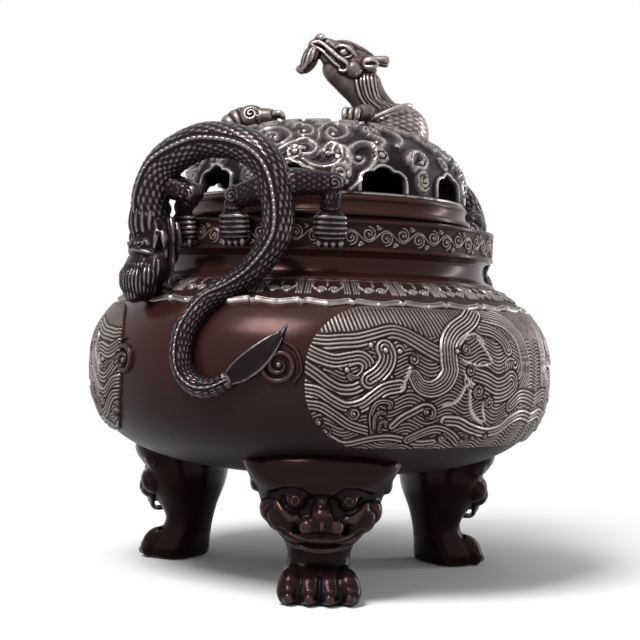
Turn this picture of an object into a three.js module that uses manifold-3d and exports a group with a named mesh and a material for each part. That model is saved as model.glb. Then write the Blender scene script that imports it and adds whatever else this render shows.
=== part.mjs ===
// Lidded tripod incense burner in cast bronze, as an assembly of its separate castings.
// Millimetres, +Z up. The origin is at the centre of the base, on the surface that it stands on.
// The front is towards -Y. Azimuths are in degrees, 0 at the front, growing towards +X.
import * as THREE from "three";
import { mergeVertices } from "three/addons/utils/BufferGeometryUtils.js";
import Module from "manifold-3d";

const wasm = await Module();
wasm.setup();

// Clearance between castings that touch
const FIT = 0.3;

// Bowl: a round body made of two superelliptic halves, open at the neck
const BOWL_RADIUS = 114.5;
const BOWL_MIDDLE_Z = 105.5;
const BOWL_DEPTH_BELOW = 53;
const BOWL_RISE_ABOVE = 53;
const BOWL_LOWER_POWER = 2.95;
const BOWL_UPPER_POWER = 2.4;
const BOWL_WALL = 4;
const SPIGOT_HEIGHT = 5;
const SPIGOT_WALL = 3;

// Rim collar: foot moulding, waisted neck, frieze band and the flat lip round the mouth
const NECK_BORE_RADIUS = 77.5;
const NECK_FOOT_WIDTH = 8.5;
const NECK_WALL = 4.2;
const NECK_WAIST = 0.9;
const FOOT_MOULDING_HEIGHT = 2.2;
const FOOT_MOULDING_STEP = 1.2;
const NECK_HEIGHT = 12;
const BAND_PROJECTION = 4.5;
const BAND_HEIGHT = 14.2;
const BAND_BORDER = 1.6;
const FRIEZE_DEPTH = 1;
const LIP_THICKNESS = 3.4;
const MOUTH_RADIUS = 69.5;

// Bed under the plates that are applied to the bowl
const APPLIED_BED = 0.6;

// Shoulder band of hanging lappets
const LAPPET_COUNT = 28;
const LAPPET_START_AZIMUTH = 4.1;
const LAPPET_BAND_DROP = 10.6;
const LAPPET_SCALLOP = 2;
const LAPPET_THICKNESS = 1.2;
const LAPPET_BEAD = 0.9;

// Wave panels
const PANEL_HALF_ANGLE = 65;
const PANEL_BOTTOM_Z = 72.4;
const PANEL_CORNER = 27;
const PANEL_THICKNESS = 1.2;
const PANEL_TOP_GAP = 0.5;

// Tripod legs: a beast mask above a clawed paw
const LEG_AZIMUTHS = { leg_front_left: -60, leg_front_right: 60, leg_rear: 180 };
const LEG_TOP_Z = 71;
const ANKLE_Z = 18;
const ANKLE_HALF_WIDTH = 14.5;
const ANKLE_FRONT = 82;
const ANKLE_BACK = 66;
const PAW_HALF_WIDTH = 18.3;
const PAW_HEEL = 71;
const PAW_TIP = 97;
const PAW_HEIGHT = 13;
const MASK_HALF_WIDTH = 27.5;
const MASK_FLARE_HALF_WIDTH = 35;
const MASK_FRONT = 97;
const MASK_BACK = 60.5;
const NOSE_Z = 37;
const NOSE_TIP = 104;
const EYE_Z = 48;
const EYE_RADIUS = 5;
const TOE_COUNT = 4;
const LEG_RIVET_RADIUS = 4;
const LEG_RIVET_HEAD_RADIUS = 7;
const LEG_RIVET_HEAD_HEIGHT = 3;
const LEG_RIVET_PLACE = 74;
const LEG_RIVET_DEPTH = 12;

// Dragon handles: one at -X, and a copy turned half round at +X
const HANDLE_CLEARANCE = 8.8;
const HANDLE_TOP_Z = 208;
const HANDLE_BODY_RADIUS = 7.8;
const HANDLE_TAIL_RADIUS = 4;
const HANDLE_HEAD_AZIMUTH = -113.7;
const HANDLE_HEAD_INSET = 9.5;
const HANDLE_HEAD_Z = 154;
const HANDLE_HEAD_LENGTH = 38;
const HANDLE_HEAD_WIDTH = 25;
const HANDLE_LEG_RADIUS = 4.6;
const HANDLE_PAW_WIDTH = 11;
const TAIL_TUFT_LENGTH = 34;

// Lid: seat ring with its spigot, and the pierced dome
const LID_FLANGE_RADIUS = 74.2;
const LID_FLANGE_HEIGHT = 5;
const LID_RING_TOP_RADIUS = 71.3;
const LID_RING_HEIGHT = 12.5;
const LID_SPIGOT_DEPTH = 6.5;
const LID_SPIGOT_WALL = 2.7;
const DOME_RADIUS = 70;
const DOME_HEIGHT = 40;
const DOME_POWER = 2.5;
const DOME_WALL = 2.6;
const WINDOW_COUNT = 10;
const WINDOW_WIDTH = 22.5;
const WINDOW_HEIGHT = 12;
const WINDOW_SILL = 1.4;
const WINDOW_START_AZIMUTH = -38.7;

// Knob dragon on the dome, set out in its own frame: X along its gaze reversed, -Y towards the viewer
const FINIAL_AZIMUTH = -61.7;
const FINIAL_TOP_Z = 276;
const FINIAL_NECK_RADIUS = 11;
const FINIAL_COIL_RADIUS = 10.5;
const FINIAL_COIL_REACH = 42;
const FINIAL_HAUNCH_REACH = 37;
const FINIAL_TAIL_REACH = 54;
const FINIAL_STUD_RADIUS = 2.5;
const FINIAL_STUD_PLACE = 20;
const FINIAL_NUT_RADIUS = 5;
const FINIAL_NUT_HEIGHT = 3.4;

// Mesh fineness
const RING_SEGMENTS = 36;
const DOME_SEGMENTS = 30;
const LAPPET_SEGMENTS = 2 * LAPPET_COUNT;
const BOWL_STEPS = 11;
const DOME_STEPS = 7;

// Colours of the finishes
const POLISHED_BRONZE = { color: 0x3a1c18, roughness: 0.28, metalness: 0.85 };
const DARK_BRONZE = { color: 0x1d1216, roughness: 0.38, metalness: 0.85 };
const SILVERED = { color: 0x8d8386, roughness: 0.36, metalness: 0.9 };
const RELIEF_BRONZE = { color: 0x5a4f52, roughness: 0.42, metalness: 0.88 };

const { degToRad } = THREE.MathUtils;
const { lerp } = THREE.MathUtils;

/** A point at a radius, an azimuth and a height. */
function around(radius, azimuth, z) {
  const a = degToRad(azimuth);
  return new THREE.Vector3(radius * Math.sin(a), -radius * Math.cos(a), z);
}

/** A surface of revolution made of a lower and an upper superelliptic half. */
class RoundShell {
  constructor({ radius, middleZ, below, above, lowerPower, upperPower }) {
    Object.assign(this, { radius, middleZ, below, above, lowerPower, upperPower });
  }

  half(z) {
    const upper = z >= this.middleZ;
    return { height: upper ? this.above : this.below, power: upper ? this.upperPower : this.lowerPower };
  }

  radiusAt(z) {
    const { height, power } = this.half(z);
    const share = Math.abs(z - this.middleZ) / height;
    return this.radius * Math.max(1 - share ** power, 0) ** (1 / power);
  }

  /** Height of the upper or lower half at a radius. */
  zAt(radius, upper = true) {
    const power = upper ? this.upperPower : this.lowerPower;
    const rise = Math.max(1 - (radius / this.radius) ** power, 0) ** (1 / power);
    return this.middleZ + (upper ? this.above : -this.below) * rise;
  }

  /** Outward normal at a height, as its radial and upward shares. */
  normalAt(z) {
    const { height, power } = this.half(z);
    const share = (z - this.middleZ) / height;
    const radial = (this.radiusAt(z) / this.radius) ** (power - 1) / this.radius;
    const upward = (Math.sign(share) * Math.abs(share) ** (power - 1)) / height;
    return new THREE.Vector2(radial, upward).normalize();
  }

  /** A point above the surface, measured along its normal. */
  point(azimuth, z, offset = 0) {
    const normal = this.normalAt(z);
    return around(this.radiusAt(z) + offset * normal.x, azimuth, z + offset * normal.y);
  }

  /** The same shell grown or shrunk on all sides. */
  offset(amount) {
    return new RoundShell({
      ...this,
      radius: this.radius + amount,
      below: this.below + amount,
      above: this.above + amount,
    });
  }

  /** Outline from a low height to a high one, as radius and height, with a clearance outside it. */
  outline(fromZ, toZ, steps, clearance = 0) {
    const angleAt = (z) => {
      const { height, power } = this.half(z);
      const share = THREE.MathUtils.clamp((z - this.middleZ) / height, -1, 1);
      return Math.sign(share) * Math.asin(Math.abs(share) ** (power / 2));
    };
    const [first, last] = [angleAt(fromZ), angleAt(toZ)];
    return Array.from({ length: steps + 1 }, (_, i) => {
      const angle = lerp(first, last, i / steps);
      const { height, power } = this.half(angle >= 0 ? this.middleZ : this.middleZ - 1);
      const radius = this.radius * Math.max(Math.cos(angle), 0) ** (2 / power);
      const rise = Math.sign(angle) * height * Math.abs(Math.sin(angle)) ** (2 / power);
      const point = new THREE.Vector2(radius < 1e-6 ? 0 : radius, this.middleZ + rise);
      return point.addScaledVector(this.normalAt(point.y), clearance);
    });
  }
}

const bowlShell = new RoundShell({
  radius: BOWL_RADIUS,
  middleZ: BOWL_MIDDLE_Z,
  below: BOWL_DEPTH_BELOW,
  above: BOWL_RISE_ABOVE,
  lowerPower: BOWL_LOWER_POWER,
  upperPower: BOWL_UPPER_POWER,
});

// Radii and heights that follow from the sizes above
const NECK_BASE_RADIUS = NECK_BORE_RADIUS + NECK_FOOT_WIDTH;
const BAND_RADIUS = NECK_BORE_RADIUS + NECK_WALL + BAND_PROJECTION;
const HANDLE_RADIUS = BAND_RADIUS + HANDLE_CLEARANCE;
const HANDLE_HEAD_RADIUS = BOWL_RADIUS - HANDLE_HEAD_INSET;
const BOWL_BOTTOM_Z = BOWL_MIDDLE_Z - BOWL_DEPTH_BELOW;
const NECK_BASE_Z = bowlShell.zAt(NECK_BASE_RADIUS);
const SPIGOT_TOP_Z = NECK_BASE_Z + SPIGOT_HEIGHT;
const SPIGOT_RADIUS = NECK_BORE_RADIUS + SPIGOT_WALL;
const COLLAR_FOOT_Z = NECK_BASE_Z + FIT;
const BAND_BOTTOM_Z = COLLAR_FOOT_Z + FOOT_MOULDING_HEIGHT + NECK_HEIGHT;
const LIP_Z = BAND_BOTTOM_Z + BAND_HEIGHT;
const LID_SEAT_Z = LIP_Z + FIT;
const LID_RING_TOP_Z = LID_SEAT_Z + LID_RING_HEIGHT;
const DOME_BASE_Z = LID_RING_TOP_Z + FIT;
const LAPPET_TOP_Z = NECK_BASE_Z - 2 * FIT;
const LAPPET_TIP_Z = LAPPET_TOP_Z - LAPPET_BAND_DROP;
const PANEL_TOP_Z = LAPPET_TIP_Z - PANEL_TOP_GAP;

const domeShell = new RoundShell({
  radius: DOME_RADIUS,
  middleZ: DOME_BASE_Z,
  below: DOME_HEIGHT,
  above: DOME_HEIGHT,
  lowerPower: DOME_POWER,
  upperPower: DOME_POWER,
});

/** Keeps position only, merges shared vertices, drops empty triangles and turns faces outwards. */
function closed(source) {
  const plain = new THREE.BufferGeometry();
  plain.setAttribute("position", source.getAttribute("position").clone());
  if (source.index) plain.setIndex(source.index.clone());
  const merged = mergeVertices(plain, 1e-4);
  const position = merged.getAttribute("position");
  const [a, b, c] = [new THREE.Vector3(), new THREE.Vector3(), new THREE.Vector3()];
  const triangles = [];
  let volume = 0;
  for (let i = 0; i < merged.index.count; i += 3) {
    const [ia, ib, ic] = [0, 1, 2].map((k) => merged.index.getX(i + k));
    if (ia === ib || ib === ic || ic === ia) continue;
    a.fromBufferAttribute(position, ia);
    b.fromBufferAttribute(position, ib);
    c.fromBufferAttribute(position, ic);
    volume += a.dot(b.cross(c));
    triangles.push([ia, ib, ic]);
  }
  merged.setIndex(triangles.flatMap(([ia, ib, ic]) => (volume < 0 ? [ia, ic, ib] : [ia, ib, ic])));
  return merged;
}

/** A solid that can be joined and cut. */
function solid(geometry) {
  const shape = closed(geometry);
  const mesh = new wasm.Mesh({
    numProp: 3,
    vertProperties: new Float32Array(shape.getAttribute("position").array),
    triVerts: new Uint32Array(shape.index.array),
  });
  return new wasm.Manifold(mesh);
}

function joined(solids) {
  return solids.reduce((whole, piece) => whole.add(piece));
}

/** The geometry of a solid, for a mesh. */
function geometryOf(shape) {
  const mesh = shape.getMesh();
  const geometry = new THREE.BufferGeometry();
  geometry.setAttribute("position", new THREE.BufferAttribute(new Float32Array(mesh.vertProperties), 3));
  geometry.setIndex(new THREE.BufferAttribute(new Uint32Array(mesh.triVerts), 1));
  return geometry;
}

/** A profile of radius and height turned round the Z axis. */
function turned(profile, segments = RING_SEGMENTS) {
  return new THREE.LatheGeometry(profile, segments).rotateX(Math.PI / 2);
}

/** A closed ring profile turned round the Z axis. */
function turnedRing(profile, segments = RING_SEGMENTS) {
  return turned([...profile, profile[0]], segments);
}

/** A profile given as pairs of radius and height. */
function pairs(list) {
  return list.map(([radius, z]) => new THREE.Vector2(radius, z));
}

/** A closed cylinder whose rings are laid out by a function of the share along it and the angle. */
function skinned(sides, steps, place) {
  const geometry = new THREE.CylinderGeometry(1, 1, 1, sides, steps);
  const position = geometry.getAttribute("position");
  for (let i = 0; i < position.count; i += 1) {
    const share = position.getY(i) + 0.5;
    const across = position.getX(i);
    const outward = position.getZ(i);
    const point = place(share, across, outward);
    position.setXYZ(i, point.x, point.y, point.z);
  }
  return geometry;
}

/**
 * A tapered tube along a smooth curve through points. Its back, a low ridge, faces away from a line
 * or point that ridgeFrom gives.
 */
function limb({ points, radii, sides = 7, steps = 10, ridge = 0, flat = 1, grow = 0, ridgeFrom }) {
  const curve = new THREE.CatmullRomCurve3(points, false, "centripetal");
  return skinned(sides, steps, (share, across, outward) => {
    const centre = curve.getPoint(share);
    const along = curve.getTangent(share);
    if (share === 0 || share === 1) centre.addScaledVector(along, (2 * share - 1) * grow);
    const back = ridgeFrom(centre);
    back.addScaledVector(along, -back.dot(along)).normalize();
    const side = new THREE.Vector3().crossVectors(along, back);
    const radius = radiusAlong(radii, share) + grow;
    const rise = outward > 0.99 ? 1 + ridge : 1;
    return centre
      .addScaledVector(back, outward * radius * rise)
      .addScaledVector(side, across * radius * flat);
  });
}

/** Radius at a share of the length, from radii that are evenly spaced along it. */
function radiusAlong(radii, share) {
  const place = share * (radii.length - 1);
  const index = Math.min(Math.floor(place), radii.length - 2);
  return lerp(radii[index], radii[index + 1], place - index);
}

/** An ellipsoid, turned about Z. */
function blob(x, y, z, radiusX, radiusY, radiusZ, { turn = 0, sides = 6 } = {}) {
  return new THREE.SphereGeometry(1, sides, Math.round(sides * 0.6))
    .rotateX(Math.PI / 2)
    .scale(radiusX, radiusY, radiusZ)
    .rotateZ(degToRad(turn))
    .translate(x, y, z);
}

/**
 * Modelling with balls and limbs that are all made larger by the same amount: none for the piece
 * itself, and the fit for the space that its neighbours leave it.
 */
function modelling(grow) {
  return {
    ball: (x, y, z, rx, ry, rz, options) => solid(blob(x, y, z, rx + grow, ry + grow, rz + grow, options)),
    tube: (settings) => solid(limb({ ...settings, grow })),
    both: (build) => [-1, 1].map(build),
  };
}

/** Directions away from the vessel's axis, for a ridge that faces outwards. */
function awayFromAxis(point) {
  return new THREE.Vector3(point.x, point.y, 0);
}

/** Moves a shape made round Z at the origin to a point, with its Z axis along a direction. */
function setAlong(geometry, origin, direction) {
  const turn = new THREE.Quaternion().setFromUnitVectors(new THREE.Vector3(0, 0, 1), direction);
  return geometry.applyQuaternion(turn).translate(origin.x, origin.y, origin.z);
}

/** Direction of a shell's normal at a height and an azimuth. */
function normalDirection(shell, azimuth, z) {
  const normal = shell.normalAt(z);
  return around(normal.x, azimuth, normal.y).normalize();
}

// What the pieces round the vessel are cut back to, so that they sit on it
const vesselKeepout = joined([
  solid(turned(bowlKeepoutProfile())),
  solid(turned(collarKeepoutProfile())),
  solid(turned(lappetKeepoutProfile(), LAPPET_SEGMENTS).rotateZ(degToRad(LAPPET_START_AZIMUTH))),
]);

function bowlKeepoutProfile() {
  const outline = bowlShell.outline(BOWL_BOTTOM_Z, NECK_BASE_Z, BOWL_STEPS, FIT);
  return [...outline, new THREE.Vector2(0, outline.at(-1).y)];
}

function collarKeepoutProfile() {
  const neckRadius = NECK_BORE_RADIUS + NECK_WALL + FIT;
  return pairs([
    [0, NECK_BASE_Z - FIT],
    [NECK_BASE_RADIUS + FOOT_MOULDING_STEP + FIT, NECK_BASE_Z - FIT],
    [NECK_BASE_RADIUS + FOOT_MOULDING_STEP + FIT, COLLAR_FOOT_Z + FOOT_MOULDING_HEIGHT + FIT],
    [neckRadius + FIT, COLLAR_FOOT_Z + FOOT_MOULDING_HEIGHT + 2 * FIT],
    [neckRadius + FIT, BAND_BOTTOM_Z - NECK_WALL],
    [BAND_RADIUS + FIT, BAND_BOTTOM_Z - FIT],
    [BAND_RADIUS + FIT, LIP_Z + FIT],
    [0, LIP_Z + FIT],
  ]);
}

function lappetKeepoutProfile() {
  const clearance = APPLIED_BED + LAPPET_THICKNESS + LAPPET_BEAD + FIT;
  const lowZ = LAPPET_TIP_Z - FIT;
  const outside = bowlShell.outline(lowZ, LAPPET_TOP_Z, 2, clearance);
  return [
    new THREE.Vector2(0, lowZ),
    new THREE.Vector2(bowlShell.radiusAt(lowZ), lowZ),
    ...outside,
    new THREE.Vector2(0, outside.at(-1).y),
  ];
}

// Vessel castings

function bowlGeometry() {
  const inner = bowlShell.offset(-BOWL_WALL);
  const innerTopZ = inner.zAt(NECK_BORE_RADIUS);
  const profile = [
    ...bowlShell.outline(BOWL_BOTTOM_Z, NECK_BASE_Z, BOWL_STEPS),
    new THREE.Vector2(SPIGOT_RADIUS, NECK_BASE_Z),
    new THREE.Vector2(SPIGOT_RADIUS, SPIGOT_TOP_Z),
    new THREE.Vector2(NECK_BORE_RADIUS, SPIGOT_TOP_Z),
    ...inner.outline(BOWL_BOTTOM_Z + BOWL_WALL, innerTopZ, 7).reverse(),
  ];
  const holes = Object.values(LEG_AZIMUTHS).map((azimuth) => solid(legRivetHole(azimuth)));
  return geometryOf(solid(turned(profile)).subtract(joined(holes)));
}

function rimCollarGeometry() {
  const footTopZ = COLLAR_FOOT_Z + FOOT_MOULDING_HEIGHT;
  const footRadius = NECK_BASE_RADIUS + FOOT_MOULDING_STEP;
  const neckRadius = NECK_BORE_RADIUS + NECK_WALL;
  const socketRadius = SPIGOT_RADIUS + FIT;
  return turnedRing(
    pairs([
      [socketRadius, COLLAR_FOOT_Z],
      [footRadius, COLLAR_FOOT_Z],
      [footRadius, footTopZ],
      [neckRadius - NECK_WAIST, footTopZ + NECK_HEIGHT / 2],
      [neckRadius, BAND_BOTTOM_Z - BAND_BORDER],
      [BAND_RADIUS, BAND_BOTTOM_Z],
      [BAND_RADIUS, BAND_BOTTOM_Z + BAND_BORDER],
      [BAND_RADIUS - FRIEZE_DEPTH, BAND_BOTTOM_Z + BAND_BORDER],
      [BAND_RADIUS - FRIEZE_DEPTH, LIP_Z - BAND_BORDER],
      [BAND_RADIUS, LIP_Z - BAND_BORDER],
      [BAND_RADIUS, LIP_Z],
      [MOUTH_RADIUS, LIP_Z],
      [MOUTH_RADIUS, LIP_Z - LIP_THICKNESS],
      [NECK_BORE_RADIUS, LIP_Z - LIP_THICKNESS],
      [NECK_BORE_RADIUS, SPIGOT_TOP_Z + FIT],
      [socketRadius, SPIGOT_TOP_Z + FIT],
    ]),
  );
}

/** Lower edge of the lappet band: a hanging point in the middle of each lappet. */
function lappetEdgeZ(azimuth) {
  const lappets = ((azimuth - LAPPET_START_AZIMUTH) * LAPPET_COUNT) / 360;
  const turn = THREE.MathUtils.euclideanModulo(lappets, 1);
  return LAPPET_TIP_Z + LAPPET_SCALLOP * 2 * Math.min(turn, 1 - turn);
}

function lappetBandGeometry() {
  // The profile's heights are shares of the band's drop, and its radii carry offsets from the bowl
  const carry = 10;
  const bead = LAPPET_THICKNESS + LAPPET_BEAD;
  const geometry = turnedRing(
    pairs([
      [carry + APPLIED_BED, 0],
      [carry + APPLIED_BED + LAPPET_THICKNESS, 0],
      [carry + APPLIED_BED + LAPPET_THICKNESS, 0.5],
      [carry + APPLIED_BED + bead, 1],
      [carry + APPLIED_BED, 1],
      [carry + APPLIED_BED, 0.5],
    ]),
    LAPPET_SEGMENTS,
  ).rotateZ(degToRad(LAPPET_START_AZIMUTH));
  const position = geometry.getAttribute("position");
  for (let i = 0; i < position.count; i += 1) {
    const [x, y, share] = [position.getX(i), position.getY(i), position.getZ(i)];
    const azimuth = THREE.MathUtils.radToDeg(Math.atan2(x, -y));
    const z = lerp(lappetEdgeZ(azimuth), LAPPET_TOP_Z, share);
    const point = bowlShell.point(azimuth, z, Math.hypot(x, y) - carry);
    position.setXYZ(i, point.x, point.y, point.z);
  }
  return geometry;
}

/** A plate with rounded corners that follows the bowl. */
function wavePanelGeometry() {
  const [across, upright] = [18, 9];
  const geometry = new THREE.BoxGeometry(2, 1, 1, across, upright, 1);
  const position = geometry.getAttribute("position");
  for (let i = 0; i < position.count; i += 1) {
    // Rows lie somewhat closer near the rounded corners
    const row = position.getY(i) + 0.5;
    const share = lerp(row, 0.5 - 0.5 * Math.cos(Math.PI * row), 0.4);
    const z = lerp(PANEL_BOTTOM_Z, PANEL_TOP_Z, share);
    const fromEdge = Math.min(z - PANEL_BOTTOM_Z, PANEL_TOP_Z - z, PANEL_CORNER);
    const inset = PANEL_CORNER - Math.sqrt(PANEL_CORNER ** 2 - (PANEL_CORNER - fromEdge) ** 2);
    const halfAngle = PANEL_HALF_ANGLE - THREE.MathUtils.radToDeg(inset / bowlShell.radiusAt(z));
    const offset = APPLIED_BED + (position.getZ(i) > 0 ? PANEL_THICKNESS : 0);
    const point = bowlShell.point(position.getX(i) * halfAngle, z, offset);
    position.setXYZ(i, point.x, point.y, point.z);
  }
  return geometry;
}

// Tripod legs

/** Where a leg's rivet crosses the bowl's outer face, and the way that it points. */
function legRivetAxis(azimuth) {
  const z = bowlShell.zAt(LEG_RIVET_PLACE, false);
  return { origin: bowlShell.point(azimuth, z), direction: normalDirection(bowlShell, azimuth, z) };
}

/** Rivet with a domed head inside the bowl and its shank in the leg. */
function legRivetGeometry(azimuth) {
  const { origin, direction } = legRivetAxis(azimuth);
  const seat = -BOWL_WALL;
  const profile = pairs([
    [0, seat - LEG_RIVET_HEAD_HEIGHT],
    [LEG_RIVET_HEAD_RADIUS * 0.6, seat - LEG_RIVET_HEAD_HEIGHT * 0.8],
    [LEG_RIVET_HEAD_RADIUS, seat],
    [LEG_RIVET_RADIUS, seat],
    [LEG_RIVET_RADIUS, LEG_RIVET_DEPTH],
    [0, LEG_RIVET_DEPTH],
  ]);
  return setAlong(turned(profile, 8), origin, direction);
}

/** What a rivet takes out of the bowl and the leg: its hole, and a flat spot for its head. */
function legRivetHole(azimuth) {
  const { origin, direction } = legRivetAxis(azimuth);
  const spot = FIT - BOWL_WALL;
  const profile = pairs([
    [0, -2 * BOWL_WALL],
    [LEG_RIVET_HEAD_RADIUS + FIT, -2 * BOWL_WALL],
    [LEG_RIVET_HEAD_RADIUS + FIT, spot],
    [LEG_RIVET_RADIUS + FIT, spot],
    [LEG_RIVET_RADIUS + FIT, LEG_RIVET_DEPTH + FIT],
    [0, LEG_RIVET_DEPTH + FIT],
  ]);
  return setAlong(turned(profile, 8), origin, direction);
}

/** The leg's core: a stack of rounded sections, from the sole to above the bowl's skin. */
function legCoreGeometry() {
  const maskLowZ = ANKLE_Z + 9;
  const sections = [
    { z: 0, back: PAW_HEEL, front: PAW_TIP - 2, halfWidth: PAW_HALF_WIDTH - 1 },
    { z: PAW_HEIGHT * 0.4, back: PAW_HEEL - 1, front: PAW_TIP - 1, halfWidth: PAW_HALF_WIDTH },
    { z: PAW_HEIGHT * 0.8, back: PAW_HEEL - 2, front: PAW_TIP - 6, halfWidth: PAW_HALF_WIDTH - 1 },
    { z: ANKLE_Z, back: ANKLE_BACK, front: ANKLE_FRONT, halfWidth: ANKLE_HALF_WIDTH },
    { z: ANKLE_Z + 4, back: ANKLE_BACK - 1, front: ANKLE_FRONT + 2, halfWidth: ANKLE_HALF_WIDTH + 1 },
    { z: maskLowZ, back: ANKLE_BACK - 2, front: MASK_FRONT - 7, halfWidth: ANKLE_HALF_WIDTH + 5 },
    { z: NOSE_Z, back: MASK_BACK + 2, front: MASK_FRONT, halfWidth: MASK_HALF_WIDTH - 3 },
    { z: EYE_Z, back: MASK_BACK, front: MASK_FRONT - 1, halfWidth: MASK_HALF_WIDTH },
    { z: lerp(EYE_Z, LEG_TOP_Z, 0.5), back: MASK_BACK, front: MASK_FRONT - 2, halfWidth: MASK_HALF_WIDTH + 3 },
    { z: LEG_TOP_Z, back: MASK_BACK, front: MASK_FRONT + 2, halfWidth: MASK_FLARE_HALF_WIDTH },
  ];
  const squareness = 0.72;
  return skinned(10, sections.length - 1, (share, across, outward) => {
    const { z, back, front, halfWidth } = sections[Math.round(share * (sections.length - 1))];
    const middle = (back + front) / 2;
    const reach = (front - back) / 2;
    const x = Math.sign(across) * Math.abs(across) ** squareness * halfWidth;
    const y = -middle - Math.sign(outward) * Math.abs(outward) ** squareness * reach;
    return new THREE.Vector3(x, y, z);
  });
}

/** A leg at the front, facing -Y, before it is turned to its place. */
function legSolid() {
  const { ball, both } = modelling(0);
  const toePitch = (2 * PAW_HALF_WIDTH) / TOE_COUNT;
  const toes = Array.from({ length: TOE_COUNT }, (_, i) => {
    const x = (i - (TOE_COUNT - 1) / 2) * toePitch;
    const reach = PAW_TIP - 0.012 * x * x;
    return ball(x, -(reach - 5.5), PAW_HEIGHT * 0.42, toePitch * 0.6, 8, PAW_HEIGHT * 0.6, { sides: 5 });
  });
  const face = [
    ball(0, -(NOSE_TIP - 8), NOSE_Z, 9, 8, 6, { sides: 7 }),
    ...both((side) =>
      ball(side * 11.5, -(MASK_FRONT - 3), EYE_Z, EYE_RADIUS, EYE_RADIUS, EYE_RADIUS, { sides: 5 }),
    ),
    ...both((side) => ball(side * 12.5, -(MASK_FRONT - 4), EYE_Z + 7.5, 10, 7, 3.6, { turn: side * 12 })),
    ball(0, -(MASK_FRONT - 7), ANKLE_Z + 9, 15, 7, 4.5),
  ];
  const whole = joined([solid(legCoreGeometry()), ...toes, ...face]);
  const floor = solid(new THREE.BoxGeometry(4 * PAW_TIP, 4 * PAW_TIP, 20).translate(0, 0, -10));
  return whole.subtract(floor);
}

/** A leg in its place, cut back to the bowl and drilled for its rivet. */
function legGeometry(leg, azimuth) {
  const placed = leg.rotate([0, 0, azimuth]);
  return geometryOf(placed.subtract(vesselKeepout).subtract(solid(legRivetHole(azimuth))));
}

// Dragon handles, made at -X

/** The way of the dragon's body, from behind its head over the arch and down the bowl to the tuft. */
function handleWay() {
  const neck = around(HANDLE_RADIUS + 7, HANDLE_HEAD_AZIMUTH, 0);
  const onBowl = (azimuth, z) => bowlShell.point(azimuth, z, HANDLE_TAIL_RADIUS);
  const downY = -27;
  return [
    new THREE.Vector3(neck.x, neck.y, HANDLE_HEAD_Z + 14),
    new THREE.Vector3(-HANDLE_RADIUS - 1, neck.y - 1, HANDLE_TOP_Z - 22),
    new THREE.Vector3(-HANDLE_RADIUS, neck.y - 9, HANDLE_TOP_Z - 6),
    new THREE.Vector3(-HANDLE_RADIUS, 14, HANDLE_TOP_Z),
    new THREE.Vector3(-HANDLE_RADIUS, -7, HANDLE_TOP_Z - 1.5),
    new THREE.Vector3(-HANDLE_RADIUS, -22, HANDLE_TOP_Z - 10),
    new THREE.Vector3(-HANDLE_RADIUS, downY, LIP_Z + BAND_HEIGHT * 0.65),
    new THREE.Vector3(-HANDLE_RADIUS, downY, LIP_Z - BAND_HEIGHT * 0.62),
    new THREE.Vector3(-HANDLE_RADIUS - 1.5, -18, LAPPET_TOP_Z + 6.5),
    onBowl(-86, LAPPET_TIP_Z + 5),
    onBowl(-90.5, LAPPET_TIP_Z - 2),
    onBowl(-92.8, LAPPET_TIP_Z - 13),
    onBowl(-93, BOWL_MIDDLE_Z + 5),
    onBowl(-91.8, BOWL_MIDDLE_Z - 3),
    onBowl(-88.6, BOWL_MIDDLE_Z - 8),
    onBowl(-84.6, BOWL_MIDDLE_Z - 8),
    onBowl(-80.6, BOWL_MIDDLE_Z - 4),
  ];
}

/** The flame tuft at the end of the tail, along the bowl. */
function tailTuftWay() {
  const start = bowlShell.point(-81.5, BOWL_MIDDLE_Z - 5, HANDLE_TAIL_RADIUS);
  const end = bowlShell.point(-69.8, BOWL_MIDDLE_Z + 17.5, HANDLE_TAIL_RADIUS / 2);
  const reach = end.clone().sub(start).setLength(TAIL_TUFT_LENGTH);
  const points = [0, 0.35, 0.7, 1].map((share) => start.clone().addScaledVector(reach, share));
  return points.map((point, i) => {
    const azimuth = THREE.MathUtils.radToDeg(Math.atan2(point.x, -point.y));
    return bowlShell.point(azimuth, point.z, HANDLE_TAIL_RADIUS * (0.7 - 0.15 * i));
  });
}

function handleBodySolid(grow) {
  const { tube } = modelling(grow);
  const body = tube({
    points: handleWay(),
    radii: [
      HANDLE_BODY_RADIUS + 1,
      HANDLE_BODY_RADIUS + 0.6,
      HANDLE_BODY_RADIUS,
      HANDLE_BODY_RADIUS,
      HANDLE_BODY_RADIUS - 0.7,
      HANDLE_BODY_RADIUS - 1.6,
      HANDLE_TAIL_RADIUS + 1.4,
      HANDLE_TAIL_RADIUS + 0.6,
      HANDLE_TAIL_RADIUS,
    ],
    sides: 6,
    steps: 30,
    ridge: 0.2,
    ridgeFrom: awayFromAxis,
  });
  const tuft = tube({
    points: tailTuftWay(),
    radii: [2.4, 3.4, 2.6, 0.7],
    sides: 6,
    steps: 5,
    flat: 1.45,
    ridgeFrom: awayFromAxis,
  });
  return body.add(tuft);
}

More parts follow.
